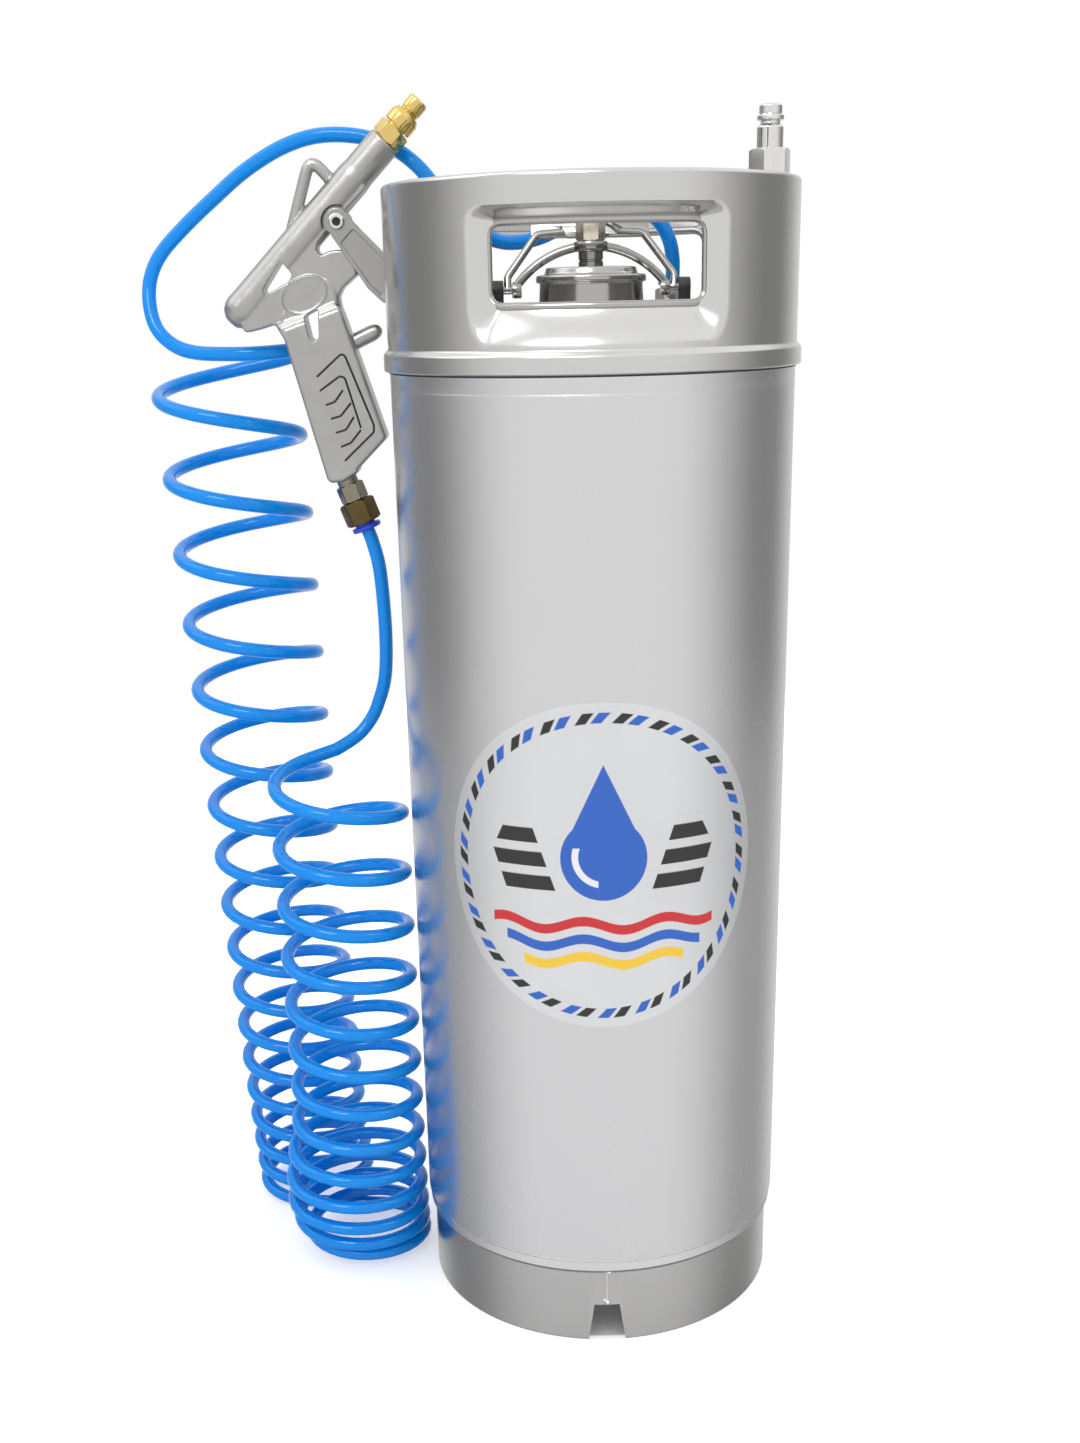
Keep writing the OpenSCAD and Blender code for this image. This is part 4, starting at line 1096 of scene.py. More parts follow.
@dataclass
class CurlyHose:
    """One hose: out of the tank's outlet, over the rim, down and up in curls, and into the gun."""

    radius: float = 4.0
    outlet: Triple = (*OUTLET_AT, 569.05)
    outlet_face: float = 585.0
    rear_top: Pair = (-211.0, 90.0)
    rear_foot: Pair = (-192.0, 92.0)
    rear_top_z: float = 538.0
    rear_top_r: float = 41.0
    rear_foot_r: float = 35.5
    rear_top_pitch: float = 48.0
    rear_turns: float = 17.0
    front_x: float = -113.5
    front_top_y: float = 5.0
    front_foot_y: float = 18.0
    front_r: float = 37.0
    front_foot_r: float = 34.0
    front_bulge: float = 4.0
    front_easing: float = 6.0
    foot_easing: float = 2.0
    front_foot_pitch: float = 9.2
    front_top_z: float = 318.3
    front_turns: float = 13.0
    front_end: float = 30.0
    floor_z: float = 4.3
    straight: float = 12.0
    rise_step: float = 4.0
    rise_slope: float = 0.17
    gun_lead: float = 36.0
    gun_stop: float = 15.1
    per_turn: int = 36
    per_span: int = 8
    around: int = 5
    lead: Tuple[Triple, ...] = (
        (48, 62, 594), (46, 62, 604), (41, 63, 613), (33, 65, 620), (23, 67, 624), (12, 69, 624),
        (1, 70, 620), (-11, 71, 614), (-23, 72, 608), (-35, 71, 605), (-47, 68, 605), (-58, 63, 609),
        (-68, 58, 616), (-76, 55, 625), (-84, 54, 635), (-93, 55, 645), (-106, 59, 654), (-124, 63, 660),
        (-146, 66, 661), (-167, 71, 656), (-189, 76, 645), (-209, 81, 631), (-227, 84, 617), (-242, 86, 603),
        (-249, 85, 590), (-250, 81, 576), (-246, 76, 563), (-236, 70, 554), (-223, 64, 550), (-206, 58, 549),
        (-188, 55, 549), (-169, 60, 550), (-155, 74, 551), (-149, 93, 551), (-154, 112, 550),
        (-168, 126, 547))
    rise: Tuple[Triple, ...] = (
        (-149, 48, 324), (-141, 52, 329), (-134, 55, 337), (-129, 56, 347), (-124, 55, 364), (-122, 50, 392),
        (-123, 45, 428))

    def front_radius(self, k: float) -> float:
        """Radius of the front column after k curls from its foot."""
        bulge = self.front_bulge * math.sin(math.pi * min(1.0, k / self.front_easing))
        return self.front_r + bulge - (self.front_r - self.front_foot_r) * max(0.0, 1 - k / self.foot_easing)

    def front_middle(self, k: float) -> Vector:
        """Middle of the front column after k curls."""
        blend = max(0.0, 1 - k / self.front_easing) ** 2
        return Vector((self.front_x - self.front_radius(k),
                       self.front_top_y + (self.front_foot_y - self.front_top_y) * blend))

    @staticmethod
    def on_curl(middle: Vector, radius: float, angle: float, height: float) -> Vector:
        """Point of a curl at an angle in radians."""
        return Vector((middle.x + radius * math.cos(angle), middle.y + radius * math.sin(angle), height))

    def smooth(self, points: Sequence[Vector]) -> List[Vector]:
        """Lays a smooth curve through points.

        Args:
            points: Points that the curve passes.

        Returns:
            The curve's points.
        """
        last = len(points) - 1
        line: List[Vector] = []
        for i in range(last):
            a, b, c, d = (points[max(i - 1, 0)], points[i], points[i + 1], points[min(i + 2, last)])
            for step in range(self.per_span):
                u = step / self.per_span
                line.append(0.5 * (2 * b + (c - a) * u + (2 * a - 5 * b + 4 * c - d) * u * u
                                   + (3 * b - a - 3 * c + d) * u * u * u))
        return line + [points[last]]

    def curls(self) -> List[Vector]:
        """Winds both columns of curls, joined by a straight on the floor that touches both.

        Returns:
            The line's points.
        """
        foot = self.front_middle(0.0)
        gap = foot - Vector(self.rear_foot)
        touch = math.acos((self.rear_foot_r + self.front_foot_r) / gap.length)
        turn = math.atan2(gap.y, gap.x) - touch
        rear_count = self.rear_turns + (math.degrees(turn) + 270) / 360
        front_count = self.front_turns + (math.degrees(turn) + 90 - self.front_end) / 360
        foot_pitch = 2 * (self.rear_top_z - self.floor_z) / rear_count - self.rear_top_pitch
        line: List[Vector] = []
        steps = round(rear_count * self.per_turn)
        for i in range(steps + 1):
            u = i / steps
            k = rear_count * u
            angle = math.radians(90 + 360 * k)
            radius = self.rear_foot_r + (self.rear_top_r - self.rear_foot_r) * (1 - u) ** 3
            middle = Vector(self.rear_top).lerp(Vector(self.rear_foot), u)
            slack = (self.rear_top_pitch - foot_pitch) * k * u / 2
            height = self.rear_top_z - self.rear_top_pitch * k + slack
            line.append(self.on_curl(middle, radius, angle, height))
        steps = round(front_count * self.per_turn)
        lift = self.front_top_z - self.floor_z - self.front_foot_pitch * front_count
        for i in range(steps + 1):
            u = i / steps
            k = front_count * u
            angle = turn + math.pi - math.tau * k
            radius, middle = self.front_radius(k), self.front_middle(k)
            height = self.floor_z + self.front_foot_pitch * k + lift * u * u
            line.append(self.on_curl(middle, radius, angle, height))
        return line

    def path(self) -> List[Vector]:
        """Lays the hose's middle line from the outlet to the gun.

        Returns:
            The line's points in millimetres.
        """
        curls = self.curls()
        slope = self.rear_top_pitch / (math.tau * self.rear_top_r)
        start_way = Vector((1, 0, slope)).normalized()
        end = math.radians(self.front_end)
        end_way = Vector((math.cos(end), math.sin(end), self.rise_slope)).normalized()
        first = curls[0] + self.straight * start_way
        last = curls[-1] + self.straight * end_way
        exit_point = Vector((*OUTLET_AT, self.outlet_face))
        lead = [exit_point, *map(Vector, self.lead), first + self.straight * start_way]
        down = Gun.fittings().to_3x3() @ Vector((0, 0, 1))
        base = Gun.fittings().translation / MM
        rise = [last + self.rise_step * end_way, *map(Vector, self.rise), base + self.gun_lead * down]
        return ([Vector(self.outlet)] + self.smooth(lead) + [first] + curls
                + [last] + self.smooth(rise) + [base + self.gun_stop * down])

    def build(self) -> None:
        line = self.path()
        length = sum((b - a).length for a, b in zip(line, line[1:])) * MM
        hose = Bench.curve("curly_hose", line, self.radius, self.around)
        hose.data.splines[0].use_smooth = True
        Bench.deliver(hose, "curly_hose", "tank", Finishes.HOSE, ("hose_lead", "hose_coil", "hose_rise"))
        LOG.info("hose length %.3f m", length)


# ---------- tank ----------

def oval(radius: float, off: float, steps: int = 24) -> List[Pair]:
    """Outline of two half circles and the straights between them.

    Args:
        radius: Radius of the half circles.
        off: Distance of their centres from the middle.
        steps: Points on each half circle.

    Returns:
        The outline's points.
    """
    turns = [math.pi * i / steps - math.pi / 2 for i in range(steps + 1)]
    right = [(off + radius * math.cos(a), radius * math.sin(a)) for a in turns]
    return right + [(-x, -z) for x, z in right]


@dataclass
class Tank:
    """Rolled barrel, pressed heads, collar and foot ring."""

    barrel_r: float = 107.5
    sheet: float = 1.5
    barrel_low: float = 55.0
    barrel_top: float = 549.5
    score_z: float = 531.0
    score_deep: float = 0.18
    skirt: float = 18.0
    mouth_off: float = 7.0
    steps: int = 288

    def barrel(self) -> None:
        """Barrel with rounded rims and a faint score line below the collar."""
        out, wall, low, top = self.barrel_r, self.barrel_r - self.sheet, self.barrel_low, self.barrel_top
        score, rows = self.score_z, 12
        heights = [low + 0.6 + i * (score - 2 - low) / rows for i in range(rows + 1)]
        outline = [(out - 0.5, low)] + [(out, z) for z in heights] + [
            (out, score), (out - self.score_deep, score + 0.35), (out - self.score_deep, score + 0.65),
            (out, score + 1.0), (out, top - 0.5), (out - 0.4, top), (wall, top), (wall, low)]
        Bench.deliver(Bench.turn(outline, steps=self.steps, ring=True), "barrel", "tank",
                      Finishes.BARREL, ["barrel_shell"])

    def top_head(self) -> None:
        """Domed head with the oval mouth, its stiff rim and the two bosses."""
        head = self.barrel_top
        out = self.barrel_r - self.sheet - GAP
        outside = rounded([(out, head - self.skirt), (out, head + 0.5), (out - 12, head + 8.6),
                           (out - 47, head + 19.2), (out - 62, head + 20.5), (0, head + 20.5)], 16.0, 6)
        inside = [(max(r - 0.9, 0.0), z - 1.2) for r, z in reversed(outside)]
        inside[-1] = (out - self.sheet, head - self.skirt)
        piece = Bench.turn(outside + inside, steps=self.steps, ring=True)
        flat = about("X", 90)
        rim = Bench.plate(oval(36.5, self.mouth_off), head + 13.5, head + 20.0, flat)
        Bench.combine(piece, rim, Cut.JOIN)
        for place, low, high, radius, bore in (((INLET_X, 0.0), -1.0, 12.0, 12.5, 5.55),
                                               (OUTLET_AT, 3.0, 16.5, 13.0, 6.55)):
            at = shift(*place, 0)
            foot, top = head + low, head + high
            boss = [(0, foot), (radius + 1.5, foot), (radius + 1.0, top - 4), (radius - 1.5, top - 1),
                    (radius - 3.5, top), (0, top)]
            Bench.combine(piece, Bench.turn(boss, at, 48), Cut.JOIN)
            Bench.drill(piece, bore, head - 12, head + 24, at)
        mouth = Bench.plate(oval(34.5, self.mouth_off), head - 10, head + 30, flat)
        Bench.combine(piece, mouth, Cut.TAKE)
        Bench.soften(piece, 0.5, angle=40)
        Bench.deliver(piece, "head", "tank", Finishes.SHEET, ["top_head"])

    def build(self) -> None:
        """Builds barrel, head, collar and foot."""
        self.barrel()
        self.top_head()
        Collar().build()
        Foot().build()
        Bench.dress(Finishes.BARREL, "bottom_head", "dip_tube")
        Bench.dress(Finishes.FILM, "label_film")


@dataclass
class Collar:
    """Collar sheet with its bead, rolled rim and two pressed hand openings with rolled lips."""

    fit_r: float = 107.7
    low: float = 540.0
    head_z: float = 549.8
    bead_r: float = 110.5
    bead_h: float = 11.0
    wall_r: float = 108.0
    sheet: float = 1.5
    rim_z: float = 627.8
    rim_r: float = 2.2
    press: float = 10.5
    hand: Pair = (52.0, 19.0)
    rear_half: float = 62.0
    rear_turn: float = 4.0
    hand_z: float = 590.0
    frame_side: float = 10.0
    frame_low: float = 552.5
    frame_high: float = 616.0
    corner: float = 7.5
    lip_r: float = 2.0
    steps: int = 540

    def depth(self, half_w: float, x: float, z: float) -> float:
        """How far the wall is pressed in at a place beside a hand opening.

        Args:
            half_w: Half the opening's width.
            x: Distance across from the opening's middle.
            z: Height.

        Returns:
            The depth in millimetres.
        """
        half_h = self.hand[1]
        side = min(1.0, (half_w + self.frame_side - abs(x)) / self.frame_side)
        floor = min(1.0, (z - self.frame_low) / (self.hand_z - half_h - self.frame_low))
        roof = min(1.0, (self.frame_high - z) / (self.frame_high - self.hand_z - half_h))
        if min(side, floor, roof) <= 0:
            return 0.0
        share = max(0.0, 1 - math.hypot(1 - side, max(1 - floor, 1 - roof)))
        return self.press * (0.35 * share + 0.65 * share * share * (3 - 2 * share))

    def outline(self) -> List[Pair]:
        """Draws the sheet's profile: bead, wall, rolled rim and the wall's inner side.

        Returns:
            The profile's corners as (radius, height).
        """
        start = self.low + self.bead_h + 3
        bead = rounded([(self.fit_r, self.low), (self.bead_r, self.low), (self.bead_r, self.low + 8.6),
                        (self.wall_r, self.low + self.bead_h), (self.wall_r, start)], 2.2)
        rows = 56
        wall = [(self.wall_r, start + (self.rim_z - start) * i / rows) for i in range(1, rows + 1)]
        centre = self.wall_r - self.rim_r
        roll = [(centre + self.rim_r * math.cos(a), self.rim_z + self.rim_r * math.sin(a))
                for a in (math.radians(20 * k) for k in range(1, 13))]
        inner = self.wall_r - self.sheet
        back = [(inner, z) for _, z in reversed(wall) if z < self.rim_z - self.rim_r - 0.6]
        return bead + wall + roll + back + [(inner, self.head_z), (self.fit_r, self.head_z)]

    def opening(self, side: int) -> Tuple[float, Matrix]:
        """Half width and place of one hand opening.

        Args:
            side: -1 for the front and 1 for the rear.

        Returns:
            Half the width, and the turn that brings the opening to its place.
        """
        if side < 0:
            return self.hand[0], Matrix.Identity(4)
        return self.rear_half, about("Z", -self.rear_turn)

    def lip(self, side: int) -> bpy.types.Object:
        """Rolled lip round one hand opening.

        Args:
            side: -1 for the front and 1 for the rear.

        Returns:
            The lip.
        """
        half_h = self.hand[1]
        half_w, at = self.opening(side)
        box = arc_corners([(-half_w, -half_h), (half_w, -half_h), (half_w, half_h), (-half_w, half_h)],
                          self.corner, 8)
        line: List[Vector] = []
        for here, there in zip(box, box[1:] + box[:1]):
            parts = max(1, round((there - here).length / 2.5))
            line += [here.lerp(there, k / parts) for k in range(parts)]
        middle = self.wall_r - self.press - self.sheet / 2
        path = [(p.x, side * math.sqrt(middle * middle - p.x * p.x), self.hand_z + p.y) for p in line]
        return Bench.rod(path, self.lip_r, at, loop=True, around=4)

    def build(self) -> None:
        """Turns the sheet, presses it, cuts the openings and adds their lips and the joint's dark line."""
        piece = Bench.turn(self.outline(), steps=self.steps, ring=True)
        for vertex in piece.data.vertices:
            x, y, z = vertex.co / MM
            radius = math.hypot(x, y)
            if radius < 1 or z < self.frame_low or z > self.frame_high:
                continue
            half_w, at = self.opening(1 if y > 0 else -1)
            away = at.inverted() @ Vector((x, y, z))
            depth = self.depth(half_w, away.x * self.wall_r / radius, z)
            vertex.co.x -= x / radius * depth * MM
            vertex.co.y -= y / radius * depth * MM
        low, high = self.hand_z - self.hand[1], self.hand_z + self.hand[1]
        for side in (-1, 1):
            half_w, at = self.opening(side)
            hole = arc_corners([(-half_w, low), (half_w, low), (half_w, high), (-half_w, high)],
                               self.corner, 6)
            start, end = sorted((side * 40, side * 130))
            Bench.combine(piece, Bench.plate(hole, start, end, at), Cut.TAKE)
        Bench.deliver(piece, "collar_sheet", "tank", Finishes.SHEET, ["collar"])
        for side, name in ((-1, "front"), (1, "rear")):
            Bench.deliver(self.lip(side), f"lip_{name}", "tank", Finishes.LID)
        low = self.low
        joint = [(107.4, low - 1.0), (107.95, low - 0.9), (108.05, low - 0.1), (107.4, low - 0.05)]
        Bench.deliver(Bench.turn(joint, steps=288, ring=True), "collar_joint", "tank", Finishes.RUBBER)


@dataclass
class Foot:
    """Foot ring with its lip, folded hem and drain notch, and the welds on it."""

    foot_r: float = 104.0
    lip_r: float = 106.6
    lip_h: float = 9.0
    top: float = 54.95
    sheet: float = 1.5
    hem_h: float = 16.0
    notch: Triple = (11.0, 7.33, 24.0)      # half its width at the floor and at its top, and its height
    bead: float = 0.75
    seam_r: float = 0.55
    steps: int = 288
    weld_steps: int = 540

    def weld(self) -> bpy.types.Object:
        """Lays the uneven weld bead between the lip and the barrel.

        Returns:
            The bead.
        """
        path = []
        for i in range(self.weld_steps):
            a = math.tau * i / self.weld_steps
            ripple = 0.10 * math.sin(67 * a) + 0.16 * math.sin(11 * a + 1) + 0.12 * math.sin(29 * a + 2)
            radius = self.lip_r + 0.1 + 0.4 * ripple
            path.append((radius * math.cos(a), radius * math.sin(a), self.top - 0.25 + ripple))
        return Bench.rod(path, self.bead, loop=True, around=2)

    def seam(self) -> bpy.types.Object:
        """Lays the seam from the notch up to the lip, with the weld's blob at its foot.

        Returns:
            The seam.
        """
        top, low = self.top - self.lip_h + 0.4, self.notch[2] + 0.5
        line = [(0.5 * math.sin(k * 1.7) * 0.3, 0.15 - self.foot_r, low + (top - low) * k / 10)
                for k in range(11)]
        seam = Bench.rod(line, self.seam_r)
        for x, z, size in ((0.4, low + 0.8, 1.9), (-1.4, low + 2.2, 1.2), (1.6, top - 1.2, 1.3)):
            Bench.combine(seam, Bench.ball((x, -self.foot_r + 0.7, z), size), Cut.JOIN)
        return seam

    def build(self) -> None:
        """Turns the ring, cuts its notch and adds its bright lip and the welds."""
        hem_r = self.foot_r - self.sheet - 0.8
        outside = rounded([(hem_r, 0), (self.foot_r, 0), (self.foot_r, self.top - self.lip_h),
                           (self.lip_r, self.top - self.lip_h + 2.0), (self.lip_r - 1.3, self.top),
                           (self.foot_r - 2.5, self.top)], 1.6)
        inside = [(self.foot_r - 2.5, self.top - 2), (self.foot_r - self.sheet, self.top - 2),
                  (self.foot_r - self.sheet, self.hem_h + 0.6), (hem_r + 0.3, self.hem_h),
                  (hem_r, self.hem_h - 0.5)]
        ring = Bench.turn(outside + inside, steps=self.steps, ring=True)
        low, high, height = self.notch
        cutter = Bench.plate([(-low, -1), (low, -1), (high, height), (-high, height)],
                             -self.foot_r - 10, -self.foot_r + 10)
        Bench.combine(ring, cutter, Cut.TAKE)
        Bench.deliver(ring, "foot", "tank", Finishes.FOOT, ["foot_ring"])
        edge, foot, head = self.lip_r + 0.06, self.top - self.lip_h + 2.3, self.top - 0.5
        lip = [(edge - 0.8, foot), (edge, foot + 0.3), (edge - 1.1, head), (edge - 1.9, head)]
        Bench.deliver(Bench.turn(lip, steps=self.steps, ring=True), "foot_lip", "tank", Finishes.BARREL)
        Bench.deliver(self.weld(), "foot_weld", "tank", Finishes.PLATED)
        Bench.deliver(self.seam(), "foot_seam", "tank", Finishes.PLATED)


# ---------- lid ----------

@dataclass
class Lid:
    """Oval lid with its stepped dome, the spring bow, the lever and its rubber feet."""

    head_z: float = 570.0
    neck_r: float = 33.0
    flange_r: float = 39.5
    off: float = 7.0
    pin_z: float = 579.0
    bow_half: float = 41.0
    bow_rise: float = 21.5
    bow_d: float = 4.5
    eye_r: float = 9.0
    neck_hole: float = 5.05
    lean: float = 20.0
    leg_x: float = 43.8
    bar_half: float = 31.0
    bar_low: float = 27.0
    bar_high: float = 35.0
    foot_x: float = 49.1
    block_x: float = 39.0
    rod_r: float = 2.0

    def plate(self) -> None:
        """Pressed lid with its flange below, its neck and the rings of the dome."""
        flat = about("X", 90)
        z = self.head_z
        plate = Bench.plate(oval(self.neck_r, self.off, 48), z - 12, z + 3, flat, 1.2, 3)
        flange = Bench.plate(oval(self.flange_r, self.off, 48), z - 14, z - 12.05, flat, 0.6)
        Bench.combine(plate, flange, Cut.JOIN)
        hollow = Bench.plate(oval(self.neck_r - 2, self.off, 48), z - 20, z + 1, flat)
        Bench.combine(plate, hollow, Cut.TAKE)
        outside = rounded([(27.6, z + 1.5), (27.0, z + 12.1), (29.0, z + 12.4), (29.0, z + 15.8),
                           (24.6, z + 16.2), (23.6, z + 19.6), (12, z + 20)], 1.5)
        inside = [(self.neck_hole, z + 20), (self.neck_hole, z + 18), (22, z + 18), (22.0, z + 14),
                  (25, z + 13.8), (25.2, z + 1.5)]
        Bench.combine(plate, Bench.turn(outside + inside, steps=128, ring=True), Cut.JOIN)
        Bench.deliver(plate, "lid", "tank", Finishes.LID, ["lid_plate"])

    def bow(self) -> None:
        """Arched rod with the eye at its crown and a bearing block at each end."""
        low = self.pin_z - 0.5
        radius = (self.bow_half ** 2 + self.bow_rise ** 2) / (2 * self.bow_rise)
        centre = low + self.bow_rise - radius
        reach = math.asin((self.bow_half - 1.2) / radius)
        path = [(radius * math.sin(a), 0, centre + radius * math.cos(a))
                for a in (reach * (k / 24 - 1) for k in range(49))]
        bow = Bench.rod(path, self.bow_d / 2, around=4)
        eye_low = low + self.bow_rise - self.bow_d / 2 - 0.6
        eye = Bench.turn(drum(self.eye_r, eye_low, eye_low + self.bow_d + 0.6), steps=64, soft=1.1)
        Bench.combine(bow, eye, Cut.JOIN)
        for side in (-1, 1):
            at = shift(side * self.block_x, 0, self.pin_z) @ about("Y", 90)
            block = Bench.turn(drum(4, -2.5, 2.5), at, 32, 0.6)
            Bench.combine(bow, block, Cut.JOIN)
        Bench.drill(bow, self.neck_hole, eye_low - 5, eye_low + 9)
        Bench.deliver(bow, "bow", "tank", Finishes.ROD, ["spring_bow"])

    def lever(self) -> None:
        """Bent legs and hinge pins, and the flat cross bar with its notch."""
        at = shift(0, 0, self.pin_z) @ about("X", -self.lean)
        top = self.bar_high - 6
        legs = []
        for side in (-1, 1):
            pin = Bench.rod([(side * 36.6, 0, 0), (side * 52.1, 0, 0)], self.rod_r, at, around=4)
            bent = arc_corners([(side * self.leg_x, 0, 0), (side * self.leg_x, 0, 7), (side * 28, 0, top),
                                (side * 14, 0, top + 1)], 5, 7, False)
            legs += [pin, Bench.rod(bent, self.rod_r, at, around=4)]
        piece = legs[0]
        for leg in legs[1:]:
            Bench.combine(piece, leg, Cut.JOIN)
        half, low, high = self.bar_half, self.bar_low, self.bar_high
        notch = [(-18.4, low), (-17.2, low + 0.9), (-16.6, low + 3.0), (-15.6, low + 4.4), (-15.2, low + 6.0),
                 (-14.8, low + 6.0), (-14.4, low + 4.4), (-13.4, low + 3.0), (-12.8, low + 0.9), (-11.6, low)]
        outline = [(-half, low + 1.5), (-half + 1.5, low), *notch, (half - 1.5, low), (half, low + 1.5),
                   (half, high - 1), (half - 1, high), (-half + 1, high), (-half, high - 1)]
        bar = Bench.plate(outline, -1, 1, at)
        Bench.soften(bar, 0.3, angle=60)
        Bench.combine(piece, bar, Cut.JOIN)
        Bench.deliver(piece, "lever", "lever", Finishes.ROD, ["lid_lever"])

    def feet(self) -> None:
        """Rubber cam blocks with rounded toes."""
        wide = [(5 * math.cos(a), 5 * math.sin(a)) for a in
                (math.radians(-37 + 254 * k / 20) for k in range(21))]
        toe = [(8.7 * math.sin(a), -8.7 * math.cos(a)) for a in
               (math.radians(-26 + 52 * k / 8) for k in range(9))]
        feet = []
        for side in (-1, 1):
            pin = shift(side * self.foot_x, 0, self.pin_z)
            foot = Bench.plate(wide + toe, -3, 3, pin @ about("Z", 90), 0.7, 3)
            feet.append(Bench.drill(foot, self.rod_r + 0.03, -5, 5, pin @ about("Y", 90), 32))
        Bench.deliver(Bench.together(*feet), "cam_feet", "lever", Finishes.RUBBER, ["lid_feet"])

    def build(self) -> None:
        """Builds the lid with what hangs on it."""
        self.plate()
        self.bow()
        self.lever()
        self.feet()
        Bench.dress(Finishes.RUBBER, "lid_seal")


@dataclass
class ReliefValve:
    """Post, cap, stem and split ring of the relief valve."""

    dome_z: float = 590.0
    seat_z: float = 584.0
    shoulder_z: float = 597.1
    post_top: float = 608.0
    cap_across: float = 13.5
    cap_low: float = 602.3
    top: float = 612.0
    stem_top: float = 618.5
    eye_z: float = 616.0
    ring_r: float = 9.0
    ring_drop: float = 25.0

    def build(self) -> None:
        """Builds the valve's pieces."""
        z = self.dome_z
        post = Bench.turn([(2.5, z - 10), (5, z - 10), (5, z + 0.05), (6.5, z + 0.05), (6.5, z + 2.2),
                           (6.0, z + 2.6), (6.0, z + 3.1), (6.5, z + 3.5), (6.5, self.shoulder_z),
                           (5, self.shoulder_z), (5, self.post_top - 0.3), (4.7, self.post_top),
                           (4.05, self.post_top), (4.05, self.seat_z), (2.5, self.seat_z)],
                          steps=64, ring=True)
        Bench.deliver(post, "valve_post", "tank", Finishes.ROD, ["relief_body"])
        cap = Bench.hexagon(self.cap_across, self.cap_low, self.top)
        bore = Bench.turn([(0, 600), (5.05, 600), (5.05, 608.05), (2.05, 608.1), (2.05, self.top - 1.6),
                           (3.4, self.top - 0.3), (3.4, self.top + 1), (0, self.top + 1)], steps=48)
        Bench.deliver(Bench.combine(cap, bore, Cut.TAKE), "valve_hex", "tank", Finishes.CAP, ["relief_cap"])
        low = self.seat_z + GAP
        stem = Bench.turn([(0, low), (3.8, low), (3.8, low + 2), (2, low + 2), (2, self.stem_top - 0.7),
                           (1.5, self.stem_top), (0, self.stem_top)], steps=32)
        eye = Bench.rod([(0, -5, self.eye_z), (0, 5, self.eye_z)], 1.05)
        # the stem wears the brass that is darkened as painted shade
        Bench.deliver(Bench.combine(stem, eye, Cut.TAKE), "relief_pin", "relief_stem", Finishes.OLD_BRASS,
                      ["relief_stem"])
        at = shift(0, 0, self.eye_z) @ about("Y", self.ring_drop) @ shift(self.ring_r, 0, 0)
        coil = []
        for k in range(110):
            a = math.tau * k / 60
            height = 0.33 * max(-1.0, min(1.0, (k - 55) / 12))
            coil.append((self.ring_r * math.cos(a), self.ring_r * math.sin(a), height))
        Bench.deliver(Bench.rod(coil, 0.40, at), "split_ring", "pull_ring", Finishes.ROD, ["pull_ring"])
        Bench.dress(Finishes.SPRING, "relief_spring")


# ---------- inlet and outlet ----------

@dataclass
class Inlet:
    """Riser pipe welded on the head and the quick coupling plug screwed into it."""

    riser_low: float = 561.55
    riser_top: float = 619.5
    riser_r: float = 8.5
    across: float = 19.0
    hex_low: float = 621.5
    hex_top: float = 644.5
    plug_top: float = 665.5

    def build(self) -> None:
        """Builds riser, weld and plug."""
        at = shift(INLET_X, 0, 0)
        low, top, r = self.riser_low, self.riser_top, self.riser_r
        riser = Bench.turn([(4, low - 11), (5.5, low - 11), (5.5, low), (r, low), (r, top - 0.5),
                            (r - 0.5, top), (r - 1.95, top), (r - 1.95, top - 8), (4, top - 8)],
                           at, 96, ring=True)
        Bench.deliver(riser, "riser", "tank", Finishes.SHEET, ["inlet_riser"])
        ring = []
        for k in range(96):
            a = math.tau * k / 96
            ring.append((INLET_X + (r + 0.4) * math.cos(a), (r + 0.4) * math.sin(a),
                         low + 0.8 + 0.2 * math.sin(19 * a)))
        Bench.deliver(Bench.rod(ring, 1.1, loop=True), "riser_weld", "tank", Finishes.ROD)
        plug = Bench.hexagon(self.across, self.hex_low, self.hex_top, at, spin=8)
        t = self.plug_top
        nose = rounded([(0, self.hex_low - 9), (6.5, self.hex_low - 9), (6.5, self.hex_low + 1),
                        (6.8, self.hex_low + 2), (6.8, t - 11.2), (5.2, t - 9.4), (5.0, t - 8.2),
                        (6.95, t - 7.7), (6.95, t - 5.6), (5.2, t - 5.3), (5.95, t - 4.7), (5.95, t - 1.1),
                        (4.6, t), (0, t)], 0.5, 3)
        Bench.combine(plug, Bench.turn(nose, at, 72), Cut.JOIN)
        bore = Bench.turn([(0, 600), (3.5, 600), (3.5, t - 0.4), (3.9, t + 0.2), (0, t + 0.2)], at, 48)
        Bench.deliver(Bench.combine(plug, bore, Cut.TAKE), "plug", "tank", Finishes.PLATED, ["inlet_plug"])
        Bench.dress(Finishes.RUBBER, "inlet_seal")


@dataclass
class PushFitting:
    """Shared shapes of the two push-in fittings that hold the hose."""

    bore: float = 6.05

    def socket(self, across: float, low: float, high: float, floor: float, at: Matrix) -> bpy.types.Object:
        """Hexagon nut with the socket for the release ring.

        Args:
            across: Size across flats.
            low: Its lower face.
            high: Its upper face.
            floor: Bottom of the socket.
            at: Frame of the fitting.

        Returns:
            The nut.
        """
        return Bench.drill(Bench.hexagon(across, low, high, at), self.bore, floor, high + 4, at)

    def collar(self, face: float, flange_r: float, at: Matrix) -> bpy.types.Object:
        """Release ring: a thin flange on a sleeve, open for the hose.

        Args:
            face: Height of the nut's face.
            flange_r: Radius of the flange.
            at: Frame of the fitting.

        Returns:
            The ring.
        """
        sleeve = [(4.3, face - 5), (5.8, face - 5), (6, face - 4.8)]
        flange = rounded([(6, face + 1.5), (flange_r, face + 1.5), (flange_r, face + 4.0), (5.6, face + 4.5),
                          (4.3, face + 4.0)], 0.6, 3)
        return Bench.turn(sleeve + flange, at, 72, ring=True)


